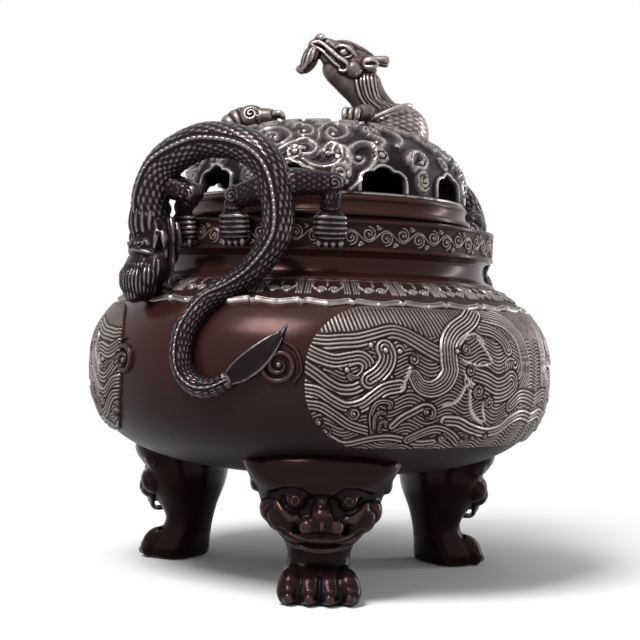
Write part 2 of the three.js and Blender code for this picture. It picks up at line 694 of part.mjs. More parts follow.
/** The hanging head, made facing -Y and then turned to its azimuth. */
function handleHeadSolid(grow) {
  const { ball, tube, both } = modelling(grow);
  const half = HANDLE_HEAD_WIDTH / 2;
  const r = HANDLE_HEAD_RADIUS;
  const z = HANDLE_HEAD_Z;
  const drop = HANDLE_HEAD_LENGTH / 2;
  const head = joined([
    ball(0, -r, z + 2, half, 11, 14, { sides: 9 }),
    ball(0, -(r + 3), z - drop * 0.55, 7.5, 8.5, 11, { sides: 8 }),
    ball(0, -(r - 2), z - drop * 0.45, 6.5, 5.5, 9),
    ...both((side) => ball(side * 7.5, -(r + 7), z - 1.5, 4.4, 4.2, 4.4)),
    ...both((side) => ball(side * (half - 2.5), -(r + 1), z - 7, 5, 6.5, 6)),
  ]);
  const horns = both((side) =>
    tube({
      points: [
        new THREE.Vector3(side * 5, -(r + 6), z + 4),
        new THREE.Vector3(side * 9, -(r + 8), z + 14),
        new THREE.Vector3(side * 11, -(r + 3), z + 27),
      ],
      radii: [2.6, 2.2, 0.9],
      sides: 5,
      steps: 3,
      ridgeFrom: () => new THREE.Vector3(0, -1, 0),
    }),
  );
  return joined([head, ...horns]).rotate([0, 0, HANDLE_HEAD_AZIMUTH]);
}

/** One handle leg from the dragon's body, over its knee, to a paw on the rim band. */
function handleLegSolid({ hip, knee, azimuth }, grow) {
  const { ball, tube } = modelling(grow);
  const pawRadius = BAND_RADIUS + HANDLE_LEG_RADIUS * 0.6;
  const bandMiddleZ = (BAND_BOTTOM_Z + LIP_Z) / 2;
  const ankle = around(pawRadius + 0.5, azimuth, LIP_Z + 1);
  const foot = around(pawRadius, azimuth, bandMiddleZ - 4);
  const limbs = tube({
    points: [hip, knee, ankle, foot],
    radii: [HANDLE_LEG_RADIUS + 1.4, HANDLE_LEG_RADIUS + 1, HANDLE_LEG_RADIUS, HANDLE_LEG_RADIUS - 0.2],
    sides: 5,
    steps: 5,
    ridgeFrom: awayFromAxis,
  });
  const paw = ball(0, -pawRadius, bandMiddleZ - 3, HANDLE_PAW_WIDTH / 2, 4.4, BAND_HEIGHT / 2 - 1);
  return limbs.add(paw.rotate([0, 0, azimuth]));
}

const HANDLE_LEGS = {
  foreleg_near: {
    hip: new THREE.Vector3(-HANDLE_RADIUS, 38, HANDLE_TOP_Z - 21),
    knee: new THREE.Vector3(-HANDLE_RADIUS + 4, 21, LIP_Z + 6),
    azimuth: -109,
  },
  foreleg_far: {
    hip: new THREE.Vector3(-HANDLE_RADIUS, 40, HANDLE_TOP_Z - 21),
    knee: new THREE.Vector3(-HANDLE_RADIUS + 14, 49, LIP_Z + 10),
    azimuth: -122,
  },
  hindleg_near: {
    hip: new THREE.Vector3(-HANDLE_RADIUS, -25, HANDLE_TOP_Z - 22),
    knee: new THREE.Vector3(-HANDLE_RADIUS + 4, -2, LIP_Z + 8),
    azimuth: -89,
  },
  hindleg_far: {
    hip: new THREE.Vector3(-HANDLE_RADIUS, -28, HANDLE_TOP_Z - 20),
    knee: new THREE.Vector3(-HANDLE_RADIUS + 16, -47, LIP_Z + 15),
    azimuth: -60,
  },
};

// Lid

function lidRingGeometry() {
  const spigotRadius = MOUTH_RADIUS - FIT;
  const boreRadius = spigotRadius - LID_SPIGOT_WALL;
  const flangeTopZ = LID_SEAT_Z + LID_FLANGE_HEIGHT;
  const footRadius = (LID_FLANGE_RADIUS + LID_RING_TOP_RADIUS) / 2 - 0.6;
  return turnedRing(
    pairs([
      [spigotRadius, LID_SEAT_Z - LID_SPIGOT_DEPTH],
      [spigotRadius, LID_SEAT_Z],
      [footRadius, LID_SEAT_Z],
      [footRadius, LID_SEAT_Z + LID_FLANGE_HEIGHT * 0.45],
      [LID_FLANGE_RADIUS, LID_SEAT_Z + LID_FLANGE_HEIGHT * 0.5],
      [LID_FLANGE_RADIUS, flangeTopZ - 0.4],
      [LID_FLANGE_RADIUS - 1.2, flangeTopZ],
      [LID_RING_TOP_RADIUS, LID_RING_TOP_Z],
      [DOME_RADIUS - DOME_WALL, LID_RING_TOP_Z],
      [boreRadius, flangeTopZ],
      [boreRadius, LID_SEAT_Z - LID_SPIGOT_DEPTH],
    ]),
  );
}

/** Cutter of one smoke window: an arch with three lobes, pointing outwards. */
function windowCutter(azimuth) {
  const half = WINDOW_WIDTH / 2;
  const shape = new THREE.Shape();
  shape.moveTo(-half, 0);
  shape.lineTo(half, 0);
  shape.lineTo(half, WINDOW_HEIGHT * 0.4);
  shape.quadraticCurveTo(half, WINDOW_HEIGHT * 0.85, half * 0.45, WINDOW_HEIGHT * 0.8);
  shape.quadraticCurveTo(half * 0.3, WINDOW_HEIGHT, 0, WINDOW_HEIGHT);
  shape.quadraticCurveTo(-half * 0.3, WINDOW_HEIGHT, -half * 0.45, WINDOW_HEIGHT * 0.8);
  shape.quadraticCurveTo(-half, WINDOW_HEIGHT * 0.85, -half, WINDOW_HEIGHT * 0.4);
  shape.closePath();
  return new THREE.ExtrudeGeometry(shape, { depth: DOME_RADIUS, bevelEnabled: false, curveSegments: 2 })
    .rotateX(Math.PI / 2)
    .translate(0, -DOME_RADIUS / 2, DOME_BASE_Z + WINDOW_SILL)
    .rotateZ(degToRad(azimuth));
}

/** Where the finial's stud crosses the dome's outer face, and the way that it points. */
function finialStudAxis() {
  const azimuth = FINIAL_AZIMUTH + 90;
  const z = domeShell.zAt(FINIAL_STUD_PLACE);
  return { origin: domeShell.point(azimuth, z), direction: normalDirection(domeShell, azimuth, z) };
}

const STUD_RISE = 9;
const STUD_DROP = DOME_WALL + FINIAL_NUT_HEIGHT + 2;

function studRod(extra) {
  const { origin, direction } = finialStudAxis();
  const radius = FINIAL_STUD_RADIUS + extra;
  const rod = new THREE.CylinderGeometry(radius, radius, STUD_RISE + STUD_DROP + 2 * extra, 10)
    .rotateX(Math.PI / 2)
    .translate(0, 0, (STUD_RISE - STUD_DROP) / 2);
  return setAlong(rod, origin, direction);
}

/** Square nut below the dome's crown. */
function finialNutGeometry() {
  const { origin, direction } = finialStudAxis();
  const half = FINIAL_NUT_RADIUS;
  const outline = new THREE.Shape();
  outline.moveTo(-half, -half);
  outline.lineTo(half, -half);
  outline.lineTo(half, half);
  outline.lineTo(-half, half);
  outline.closePath();
  const bore = new THREE.Path().absarc(0, 0, FINIAL_STUD_RADIUS + FIT, 0, 2 * Math.PI, true);
  outline.holes.push(bore);
  const plate = new THREE.ExtrudeGeometry(outline, {
    depth: FINIAL_NUT_HEIGHT,
    bevelEnabled: false,
    curveSegments: 10,
  });
  return setAlong(plate.translate(0, 0, -DOME_WALL - 3 * FIT - FINIAL_NUT_HEIGHT), origin, direction);
}

function domeGeometry() {
  const inner = domeShell.offset(-DOME_WALL);
  const profile = [
    ...domeShell.outline(DOME_BASE_Z, DOME_BASE_Z + DOME_HEIGHT, DOME_STEPS),
    ...inner.outline(DOME_BASE_Z, DOME_BASE_Z + DOME_HEIGHT - DOME_WALL, DOME_STEPS - 2).reverse(),
  ];
  const closedProfile = [new THREE.Vector2(DOME_RADIUS - DOME_WALL, DOME_BASE_Z), ...profile];
  const shell = solid(turned(closedProfile, DOME_SEGMENTS).rotateZ(degToRad(WINDOW_START_AZIMUTH)));
  const pitch = 360 / WINDOW_COUNT;
  const windows = Array.from({ length: WINDOW_COUNT }, (_, i) =>
    solid(windowCutter(WINDOW_START_AZIMUTH + i * pitch)),
  );
  return geometryOf(shell.subtract(joined([...windows, solid(studRod(FIT))])));
}

// Knob dragon, made in its own frame and turned to face as it does on the lid

const finialRise = FINIAL_TOP_Z - (DOME_BASE_Z + DOME_HEIGHT);
const at = (x, y, rise) => new THREE.Vector3(x, y, DOME_BASE_Z + DOME_HEIGHT + rise * finialRise);
const crownZ = (rise) => at(0, 0, rise).z;
const domeKeepoutProfile = [
  new THREE.Vector2(0, DOME_BASE_Z),
  ...domeShell.outline(DOME_BASE_Z, DOME_BASE_Z + DOME_HEIGHT, DOME_STEPS, FIT),
];
const domeKeepout = solid(
  turned(domeKeepoutProfile, DOME_SEGMENTS).rotateZ(degToRad(WINDOW_START_AZIMUTH)),
);
const upward = () => new THREE.Vector3(0, 0, 1);
const backward = () => new THREE.Vector3(1, 0, 0.2);

/** Head and neck: it looks left and up with its jaws open. */
function finialHeadSolid(grow) {
  const { ball, tube, both } = modelling(grow);
  const neck = tube({
    points: [at(34, 0, 0.1), at(27, 0, 0.28), at(19, 0, 0.46), at(14, 0, 0.66)],
    radii: [FINIAL_NECK_RADIUS + 1, FINIAL_NECK_RADIUS + 0.5, FINIAL_NECK_RADIUS - 0.5, 9],
    sides: 8,
    steps: 6,
    flat: 0.82,
    ridge: 0.12,
    ridgeFrom: backward,
  });
  const upperJaw = tube({
    points: [at(10, 0, 0.8), at(3, 0, 0.86), at(-4, 0, 0.93)],
    radii: [6, 4.6, 3.3],
    flat: 1.15,
    sides: 6,
    steps: 3,
    ridgeFrom: upward,
  });
  const lowerJaw = tube({
    points: [at(9, 0, 0.68), at(0, 0, 0.645), at(-9, 0, 0.655), at(-17.5, 0, 0.6)],
    radii: [5, 3.4, 2.6, 0.8],
    flat: 1.25,
    sides: 6,
    steps: 5,
    ridgeFrom: upward,
  });
  const horns = both((side) =>
    tube({
      points: [at(14, side * 5, 0.86), at(22, side * 7, 0.82), at(31, side * 8, 0.73)],
      radii: [2.8, 2.2, 0.8],
      sides: 5,
      steps: 3,
      ridgeFrom: upward,
    }),
  );
  const shape = joined([
    neck,
    upperJaw,
    lowerJaw,
    ...horns,
    ball(17, 0, crownZ(0.12), 10, 8, 8, { sides: 8 }),
    ball(11, 0, crownZ(0.76), 9.5, 8, 7.5, { sides: 8 }),
    ball(-4, 0, FINIAL_TOP_Z - 3.6, 3.2, 4.4, 3.6),
    ball(20, 0, crownZ(0.6), 8, 9.5, 8, { sides: 8 }),
    ...both((side) => ball(19, side * 8.5, crownZ(0.69), 5.5, 2.2, 3.4)),
  ]);
  return shape.rotate([0, 0, FINIAL_AZIMUTH]);
}

/** The body: over the right of the dome, half sunk behind its crown, and out again on the left. */
function finialBodySolid(grow) {
  const { tube } = modelling(grow);
  const sunk = (angle, radius, rise) => {
    const a = degToRad(angle);
    const z = domeShell.zAt(radius) + rise;
    return new THREE.Vector3(radius * Math.cos(a), radius * Math.sin(a), z);
  };
  const body = tube({
    points: [
      at(33, 0, 0.12),
      at(FINIAL_COIL_REACH, 3, 0.02),
      sunk(30, FINIAL_COIL_REACH, 1),
      sunk(65, FINIAL_COIL_REACH - 2, 1),
      sunk(100, FINIAL_COIL_REACH - 4, 1),
      sunk(140, FINIAL_COIL_REACH - 3, 2),
      sunk(168, FINIAL_COIL_REACH - 2, 4),
    ],
    radii: [FINIAL_COIL_RADIUS + 1, FINIAL_COIL_RADIUS, FINIAL_COIL_RADIUS - 2, 7.5, 7, 6.5, 6],
    steps: 13,
    ridge: 0.15,
    ridgeFrom: upward,
  });
  return body.rotate([0, 0, FINIAL_AZIMUTH]);
}

/** The raised forepaw in front of the neck. */
function finialForepawSolid(grow) {
  const { ball, tube } = modelling(grow);
  const leg = tube({
    points: [at(21, -9, 0.2), at(15, -13, 0.16), at(12, -14, 0.06), at(10, -14.5, -0.02)],
    radii: [4.6, 4, 3.2, 3],
    sides: 6,
    steps: 5,
    ridgeFrom: () => new THREE.Vector3(0, -1, 0.3),
  });
  const paw = ball(9, -15, crownZ(0.01), 6, 4.2, 3.4);
  return leg.add(paw).rotate([0, 0, FINIAL_AZIMUTH]);
}

/** Hind leg with its claws on the left of the crown, and the end of the tail. */
function finialHaunchSolid(grow) {
  const { ball, tube } = modelling(grow);
  const haunch = FINIAL_HAUNCH_REACH;
  const tail = FINIAL_TAIL_REACH;
  const shin = tube({
    points: [at(-haunch - 1, -3, 0.1), at(-haunch + 8, -5, 0.12), at(-haunch + 15, -6, 0.03)],
    radii: [5, 3.8, 3],
    sides: 6,
    steps: 4,
    ridgeFrom: upward,
  });
  const claws = [-2.4, 0, 2.4].map((y) =>
    ball(-haunch + 15 - Math.abs(y) / 2, -6 + y, crownZ(0.045), 4.2, 1.8, 2.6, { sides: 5 }),
  );
  const tailEnd = tube({
    points: [at(-haunch - 1, 3, 0.02), at(-(haunch + tail) / 2, 1, -0.05), at(-tail, -2, -0.14)],
    radii: [6, 4.6, 2.4],
    steps: 5,
    ridge: 0.15,
    ridgeFrom: upward,
  });
  const thigh = ball(-haunch, 0, crownZ(0.06), 7.5, 8, 8.5, { sides: 8 });
  return joined([thigh, shin, tailEnd, ...claws]).rotate([0, 0, FINIAL_AZIMUTH]);
}

// Assembly

const model = new THREE.Group();

function addPiece(name, geometry, finish, turn = 0) {
  const mesh = new THREE.Mesh(geometry, new THREE.MeshStandardMaterial(finish));
  mesh.name = name;
  mesh.rotation.z = turn;
  model.add(mesh);
}

/**
 * Adds pieces that are cut back to what carries them and to each other: each one is cut by the space
 * that the ones before it take.
 */
function addCutPieces(shapes, carrier, finish, turns) {
  let keepout = carrier;
  for (const [name, build] of shapes) {
    const geometry = geometryOf(build(0).subtract(keepout));
    for (const [side, turn] of turns) {
      addPiece(name.replace("SIDE", side), geometry, finish, turn);
    }
    keepout = keepout.add(build(FIT));
  }
}

addPiece("bowl", bowlGeometry(), POLISHED_BRONZE);
addPiece("rim_collar", rimCollarGeometry(), POLISHED_BRONZE);
addPiece("shoulder_lappet_band", lappetBandGeometry(), RELIEF_BRONZE);
addPiece("front_wave_panel", wavePanelGeometry(), SILVERED);
addPiece("rear_wave_panel", wavePanelGeometry(), SILVERED, Math.PI);

const leg = legSolid();
for (const [name, azimuth] of Object.entries(LEG_AZIMUTHS)) {
  addPiece(name, legGeometry(leg, azimuth), DARK_BRONZE);
}
for (const [name, azimuth] of Object.entries(LEG_AZIMUTHS)) {
  addPiece(name.replace("leg", "leg_rivet"), legRivetGeometry(azimuth), DARK_BRONZE);
}

const handleShapes = [
  ["handle_SIDE_body", handleBodySolid],
  ["handle_SIDE_head", handleHeadSolid],
  ...Object.entries(HANDLE_LEGS).map(([name, place]) => [
    `handle_SIDE_${name}`,
    (grow) => handleLegSolid(place, grow),
  ]),
];
addCutPieces(handleShapes, vesselKeepout, DARK_BRONZE, [["left", 0], ["right", Math.PI]]);

addPiece("lid_ring", lidRingGeometry(), POLISHED_BRONZE);
addPiece("lid_dome", domeGeometry(), DARK_BRONZE);
const finialShapes = [
  ["finial_dragon_head", finialHeadSolid],
  ["finial_dragon_haunch", finialHaunchSolid],
  ["finial_dragon_body", finialBodySolid],
  ["finial_dragon_forepaw", finialForepawSolid],
];
addCutPieces(finialShapes, domeKeepout.add(solid(studRod(FIT))), SILVERED, [["", 0]]);
addPiece("finial_stud", studRod(0), RELIEF_BRONZE);
addPiece("finial_nut", finialNutGeometry(), RELIEF_BRONZE);

export default model;
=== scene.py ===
"""Lidded tripod incense burner in cast bronze: relief, finishes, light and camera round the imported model.

The drawing functions work in millimetres, in the object's own frame, and the meshes are made in metres.
Azimuths are in degrees, 0 at the front (-Y), growing towards +X.
"""

import math

import bmesh
import bpy
import numpy as np
from mathutils import Matrix, Vector


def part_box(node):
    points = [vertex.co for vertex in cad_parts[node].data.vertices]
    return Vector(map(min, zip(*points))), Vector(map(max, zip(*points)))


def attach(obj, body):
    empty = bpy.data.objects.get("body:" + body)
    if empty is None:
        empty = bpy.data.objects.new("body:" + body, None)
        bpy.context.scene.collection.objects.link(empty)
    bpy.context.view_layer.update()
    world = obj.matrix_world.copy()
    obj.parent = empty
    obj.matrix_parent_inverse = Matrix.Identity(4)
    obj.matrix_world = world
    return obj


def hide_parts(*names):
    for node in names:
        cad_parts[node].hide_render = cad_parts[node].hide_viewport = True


bl_info = {
    "name": "Bronze incense burner",
    "version": (1, 0, 0),
    "blender": (4, 5, 0),
    "location": "3D View > Sidebar > Censer",
    "description": "Gives the packed incense burner its relief, finishes, light and camera",
    "category": "Add Mesh",
}

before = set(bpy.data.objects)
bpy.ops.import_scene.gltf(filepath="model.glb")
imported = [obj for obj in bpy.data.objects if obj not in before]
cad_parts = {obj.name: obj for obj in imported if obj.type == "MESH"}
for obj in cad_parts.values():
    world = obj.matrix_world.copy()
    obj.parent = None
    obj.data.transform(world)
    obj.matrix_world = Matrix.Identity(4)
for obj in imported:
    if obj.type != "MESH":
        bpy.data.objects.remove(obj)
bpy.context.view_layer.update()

MM = 0.001

# Camera, as fitted to the photograph
FOCAL_PIXELS = 1464.0
IMAGE_PIXELS = 640.0
PRINCIPAL_PIXEL = (320.9, 330.0)
CAMERA_DISTANCE = 747.5
CAMERA_HEIGHT = 123.4
CAMERA_AZIMUTH = -61.7
CAMERA_ROLL = 0.0306
SENSOR_WIDTH = 36.0
# Nearest and farthest depth of a line of sight, and its step
SIGHT_DEPTHS = (560, 800, 0.2)

# Bowl and neck
BOWL_RADIUS = 114.5
BOWL_MIDDLE_Z = 105.5
BOWL_DEPTH_BELOW = 53.0
BOWL_RISE_ABOVE = 53.0
BOWL_LOWER_POWER = 2.95
BOWL_UPPER_POWER = 2.4
BOWL_WALL = 4.0
NECK_BASE_RADIUS = 86.0
NECK_BORE_RADIUS = 77.5
SPIGOT_HEIGHT = 5.0
SPIGOT_WALL = 3.0
# Painted shade on the polished bronze: it darkens downwards from this height, over this depth, in millimetres
PAINTED_SHADE_TOP_Z = 122.0
PAINTED_SHADE_DEPTH = 52.0
NECK_WALL = 4.2
NECK_WAIST = 0.9
FOOT_MOULDING_HEIGHT = 2.2
FOOT_MOULDING_STEP = 1.2
BAND_HEIGHT = 14.2
BAND_BORDER = 1.6
BAND_PROJECTION = 4.5
LIP_THICKNESS = 3.4
MOUTH_INSET = 4.7
FIT = 0.3

# Lid
LID_FLANGE_HEIGHT = 5.0
LID_SPIGOT_INSET = 5.0
LID_SPIGOT_WALL = 2.7
DOME_INSET = 4.2
DOME_HEIGHT = 40.0
DOME_POWER = 2.5
DOME_WALL = 2.6
WINDOW_COUNT = 10
WINDOW_WIDTH = 22.5
WINDOW_HEIGHT = 12.0
WINDOW_SILL = 1.4
WINDOW_START_AZIMUTH = -38.7
CLOUD_HALF_WIDTH = 3.9
CLOUD_RISE = 0.95
SCROLL_HALF_WIDTH = 0.85
SCROLL_RISE = 1.3

# Applied relief on the bowl
LAPPET_COUNT = 28
LAPPET_START_AZIMUTH = 4.1
LAPPET_SCALLOP = 2.0
LAPPET_POINT = 0.38
PANEL_HALF_ANGLE = 65.0
PANEL_BOTTOM_Z = 72.4
PANEL_CORNER = 27.0

# Height of the combed waves' strands, from groove to ridge
STRAND_PITCH = 1.62
STRAND_LOW = 0.7
STRAND_HIGH = 1.6

# Fineness of the meshes: cells or steps round and along, and voxels of the sculpted castings
LATHE_STEPS = 180
DOME_STEPS = 480
FRIEZE_CELLS = (1176, 30)
LAPPET_CELLS = (1680, 40)
PANEL_CELLS = (336, 166)
WHORL_CELLS = 84
FLOOR_CELLS = 60
HANDLE_CELLS = (84, 560)
KNOB_CELLS = (110, 300)
LEG_VOXEL = 0.62
HANDLE_HEAD_VOXEL = 0.54
HANDLE_LEG_VOXEL = 0.48
KNOB_HEAD_VOXEL = 0.45
FINE_VOXEL = 0.4
OUTLINE_HALF_STEPS = 1200
CURVE_STEPS = 24
CHUNK = 4000

# Directions
AHEAD = (0, -1, 0)
UP = (0, 0, 1)


def high_z(node):
    """Top of a CAD node, in millimetres."""
    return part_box(node)[1][2] / MM


def low_z(node):
    """Bottom of a CAD node, in millimetres."""
    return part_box(node)[0][2] / MM


def reach(node):
    """Radius of a round CAD node, in millimetres."""
    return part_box(node)[1][0] / MM


def around(radius, azimuth, z):
    """Points at a radius, an azimuth and a height."""
    angle = np.radians(azimuth)
    radius, angle, z = np.broadcast_arrays(radius, angle, z)
    return np.stack([radius * np.sin(angle), -radius * np.cos(angle), z], axis=-1)


class RoundShell:
    """A surface of revolution made of a lower and an upper superelliptic half."""

    def __init__(self, radius, middle_z, below, above, lower_power, upper_power):
        self.radius = radius
        self.middle_z = middle_z
        self.below = below
        self.above = above
        self.lower_power = lower_power
        self.upper_power = upper_power
        turn = np.linspace(-0.5 * math.pi, 0.5 * math.pi, 2 * OUTLINE_HALF_STEPS + 1)
        power = np.where(turn < 0, lower_power, upper_power)
        height = np.where(turn < 0, below, above)
        self.radii = radius * np.cos(turn).clip(0) ** (2 / power)
        self.heights = middle_z + np.sign(turn) * height * np.abs(np.sin(turn)) ** (2 / power)
        steps = np.hypot(np.diff(self.radii), np.diff(self.heights))
        self.lengths = np.concatenate([[0], np.cumsum(steps)])
        self.lengths -= np.interp(middle_z, self.heights, self.lengths)

    def inside(self, wall):
        """The inner face of a wall."""
        return RoundShell(self.radius - wall, self.middle_z, self.below - wall, self.above - wall,
                          self.lower_power, self.upper_power)

    def radius_at(self, z):
        return np.interp(z, self.heights, self.radii)

    def upper_z(self, radius):
        """Height of the upper half at a radius."""
        upper = slice(None, OUTLINE_HALF_STEPS - 1, -1)
        return float(np.interp(radius, self.radii[upper], self.heights[upper]))

    def length_at(self, z):
        """Length along the outline from the middle height."""
        return np.interp(z, self.heights, self.lengths)

    def outline_at(self, length):
        """Radius and height at a length along the outline."""
        return np.interp(length, self.lengths, self.radii), np.interp(length, self.lengths, self.heights)

    def point(self, azimuth, length, offset=0.0):
        """Points on the surface, raised along its normal."""
        radius, z = self.outline_at(length)
        ahead = self.outline_at(length + 0.2)
        behind = self.outline_at(length - 0.2)
        rise = np.stack([ahead[0] - behind[0], ahead[1] - behind[1]])
        rise /= np.maximum(np.hypot(*rise), 1e-9)
        return around(radius + offset * rise[1], azimuth, z - offset * rise[0])

    def level(self, points):
        """How far out points are: 0 in the middle, 1 on the skin."""
        rise = points[:, 2] - self.middle_z
        power = np.where(rise < 0, self.lower_power, self.upper_power)
        tall = np.where(rise < 0, self.below, self.above)
        out = np.hypot(points[:, 0], points[:, 1]) / self.radius
        return (out ** power + (np.abs(rise) / tall) ** power) ** (1 / power)


BOWL = RoundShell(BOWL_RADIUS, BOWL_MIDDLE_Z, BOWL_DEPTH_BELOW, BOWL_RISE_ABOVE, BOWL_LOWER_POWER,
                  BOWL_UPPER_POWER)
BOWL_TURN = BOWL_RADIUS * math.radians(1)
DOME_BASE_Z = low_z("lid_dome")
DOME_RADIUS = reach("lid_ring") - DOME_INSET
DOME = RoundShell(DOME_RADIUS, DOME_BASE_Z, DOME_HEIGHT, DOME_HEIGHT, DOME_POWER, DOME_POWER)


# Curves and drawn relief


def smooth_line(points, step=0.3, closed=False):
    """A curve through points, as places that are evenly spaced along it."""
    points = np.asarray(points, float)
    if closed:
        padded = np.vstack([points[-1], points, points[0], points[1]])
    else:
        padded = np.vstack([2 * points[0] - points[1], points, 2 * points[-1] - points[-2]])
    pieces = []
    for a, b, c, d in zip(padded, padded[1:], padded[2:], padded[3:]):
        t = np.linspace(0, 1, CURVE_STEPS, endpoint=False)[:, None]
        pieces.append(0.5 * (2 * b + (c - a) * t + (2 * a - 5 * b + 4 * c - d) * t ** 2
                             + (3 * b - a - 3 * c + d) * t ** 3))
    dense = np.vstack([*pieces, padded[-2][None]])
    lengths = np.concatenate([[0], np.cumsum(np.linalg.norm(np.diff(dense, axis=0), axis=1))])
    count = max(int(lengths[-1] / step), 2) + 1
    places = np.linspace(0, lengths[-1], count)
    return np.stack([np.interp(places, lengths, axis) for axis in dense.T], axis=1)


def spiral(centre, radius, turns, start=0.0, hand=1, inner=0.12):
    """Points of a spiral that winds in to its centre from an angle in degrees."""
    share = np.linspace(0, 1, int(14 * turns) + 2)
    angle = math.radians(start) + hand * share * turns * 2 * math.pi
    ring = radius * (1 - (1 - inner) * share)
    return np.asarray(centre) + np.stack([ring * np.cos(angle), ring * np.sin(angle)], axis=1)


def stepped(value, low, high):
    """A smooth step from 0 at low to 1 at high."""
    share = np.clip((value - low) / (high - low), 0, 1)
    return share * share * (3 - 2 * share)


def nearest_on(line, places):
    """Index of a line's nearest point to each place, a chunk of places at a time."""
    nearest = np.empty(len(places), int)
    for first in range(0, len(places), CHUNK):
        chunk = places[first:first + CHUNK]
        squares = ((chunk[:, None] - line[None]) ** 2).sum(axis=2)
        nearest[first:first + CHUNK] = squares.argmin(axis=1)
    return nearest


class Relief:
    """Height and tone of relief over flat places. What is cut later lies over what is there."""

    def __init__(self, places, height=0.0, tone=0.3):
        self.places = np.asarray(places, float)
        self.height = np.full(len(self.places), float(height))
        self.tone = np.full(len(self.places), float(tone))

    def near(self, line, reach):
        """Places near a line: their indexes, signed distance from it, and share of its length."""
        close = (self.places > line.min(axis=0) - reach) & (self.places < line.max(axis=0) + reach)
        index = np.flatnonzero(close.all(axis=1))
        nearest = nearest_on(line, self.places[index])
        away = self.places[index] - line[nearest]
        along = np.gradient(line, axis=0)[nearest]
        side = np.sign(along[:, 0] * away[:, 1] - along[:, 1] * away[:, 0])
        return index, side * np.linalg.norm(away, axis=1), nearest / (len(line) - 1)

    def lower(self, index, height, tone):
        """Brings places down to a height and a tone, where they are above them."""
        self.height[index] = np.minimum(self.height[index], height)
        self.tone[index] = np.minimum(self.tone[index], tone)

    def strands(self, points, half, end=1.0, low=STRAND_LOW, high=STRAND_HIGH, border=0.0, margin=0.6):
        """Parallel ridges along a curve, between its two sides."""
        lines = max(round(2 * half / STRAND_PITCH), 2)
        index, offset, share = self.near(smooth_line(points), half + margin)
        width = half * np.interp(share, (0.7, 1), (1, end))
        across = offset / np.maximum(width, 1e-6)
        inside = np.abs(across) < 1
        ridge = np.sin(math.pi * 0.5 * (across + 1) * lines) ** 2
        outer = border * stepped(np.abs(across), 1 - 1.6 / lines, 1 - 1.0 / lines)
        raised = low + (high - low) * ridge + 0.3 * (1 - across ** 2) + outer * ridge
        self.height[index[inside]] = raised[inside]
        self.tone[index[inside]] = np.clip(ridge + outer, 0, 1.3)[inside]
        self.lower(index[(~inside) & (np.abs(offset) < width + margin)], low, 0.05)

    def ridge(self, points, half, rise=1.0, start=1.0, end=1.0, ground=None, tone=1.0):
        """One rounded ridge along a curve, over what is there."""
        index, offset, share = self.near(smooth_line(points), half * 1.2)
        width = half * np.interp(share, (0, 0.15, 0.8, 1), (start, 1, 1, end))
        across = np.abs(offset) / np.maximum(width, 1e-6)
        inside = across < 1
        base = self.height[index] if ground is None else ground
        raised = base + rise * np.sqrt(np.clip(1 - across ** 2, 0, 1))
        chosen = index[inside]
        self.height[chosen] = np.maximum(self.height[chosen], raised[inside])
        self.tone[chosen] = np.maximum(self.tone[chosen], (tone * (1 - across ** 3))[inside])

    def whorl(self, centre, radius, hand, pitch=1.35, low=0.8, high=1.8, bead=0.8, rim=0.25):
        """A round curl: a spiral ridge that winds in to a bead, with a raised rim."""
        away = self.places - centre
        distance = np.hypot(*away.T)
        inside = distance < radius
        near = distance[inside]
        angle = np.arctan2(away[inside, 1], away[inside, 0])
        ridge = np.sin(math.pi * (near / pitch - hand * angle / (2 * math.pi))) ** 2
        raised = low + (high - low) * ridge + rim * stepped(near, radius - pitch, radius - pitch * 0.5)
        dome = np.sqrt(np.clip(1 - (near / bead) ** 2, 0, 1))
        middle = near < bead * 1.35
        self.height[inside] = np.where(middle, low + (high - low + 0.8) * dome, raised)
        self.tone[inside] = np.where(middle, 1.1 * dome, ridge)
        self.lower((distance >= radius) & (distance < radius + 0.6), low, 0.05)

    def nest(self, centre, radii, lines, angles):
        """Ridges nested in one another, as arcs of an ellipse between two angles in degrees."""
        away = (self.places - centre) / radii
        distance = np.hypot(*away.T)
        angle = np.degrees(np.arctan2(away[:, 1], away[:, 0])) % 360
        inside = (distance < 1) & ((angle - angles[0]) % 360 < (angles[1] - angles[0]))
        ridge = np.sin(math.pi * distance[inside] * lines) ** 2
        self.height[inside] = STRAND_LOW + (STRAND_HIGH - STRAND_LOW) * ridge + 0.2 * distance[inside]
        self.tone[inside] = ridge

    def bead(self, centre, radius, rise=1.0, ground=0.0, ring=0.5):
        """A smooth round boss in a ring of painted shade: a darker tone round its foot, with no groove under
        it.
        """
        distance = np.hypot(*((self.places - centre) / radius).T)
        inside = distance < 1
        dome = np.sqrt(np.clip(1 - distance[inside] ** 2, 0, 1))
        self.height[inside] = np.maximum(self.height[inside], ground + rise * dome)
        self.tone[inside] = 0.35 + 0.75 * dome
        # Painted shade round the boss: only the tone drops, the height stays
        self.lower((distance >= 1) & (distance < 1 + ring), math.inf, 0.1)


# Meshes


def vertex_vectors(mesh, key):
    values = np.empty(len(mesh.vertices) * 3, np.float32)
    mesh.vertices.foreach_get(key, values)
    return values.reshape(-1, 3).astype(float)


def mesh_points(mesh):
    """Vertices of a mesh, in millimetres."""
    return vertex_vectors(mesh, "co") / MM


def set_points(mesh, points):
    mesh.vertices.foreach_set("co", (np.asarray(points) * MM).astype(np.float32).ravel())
    mesh.update()


def mesh_edges(mesh):
    edges = np.empty(len(mesh.edges) * 2, np.int64)
    mesh.edges.foreach_get("vertices", edges)
    return edges.reshape(-1, 2)


def neighbour_means(values, edges):
    """Mean of each vertex's neighbours."""
    total = np.zeros_like(values)
    count = np.zeros(len(values))
    for a, b in ((0, 1), (1, 0)):
        np.add.at(total, edges[:, a], values[edges[:, b]])
        np.add.at(count, edges[:, a], 1)
    count = np.maximum(count, 1)
    return total / (count[:, None] if values.ndim == 2 else count)


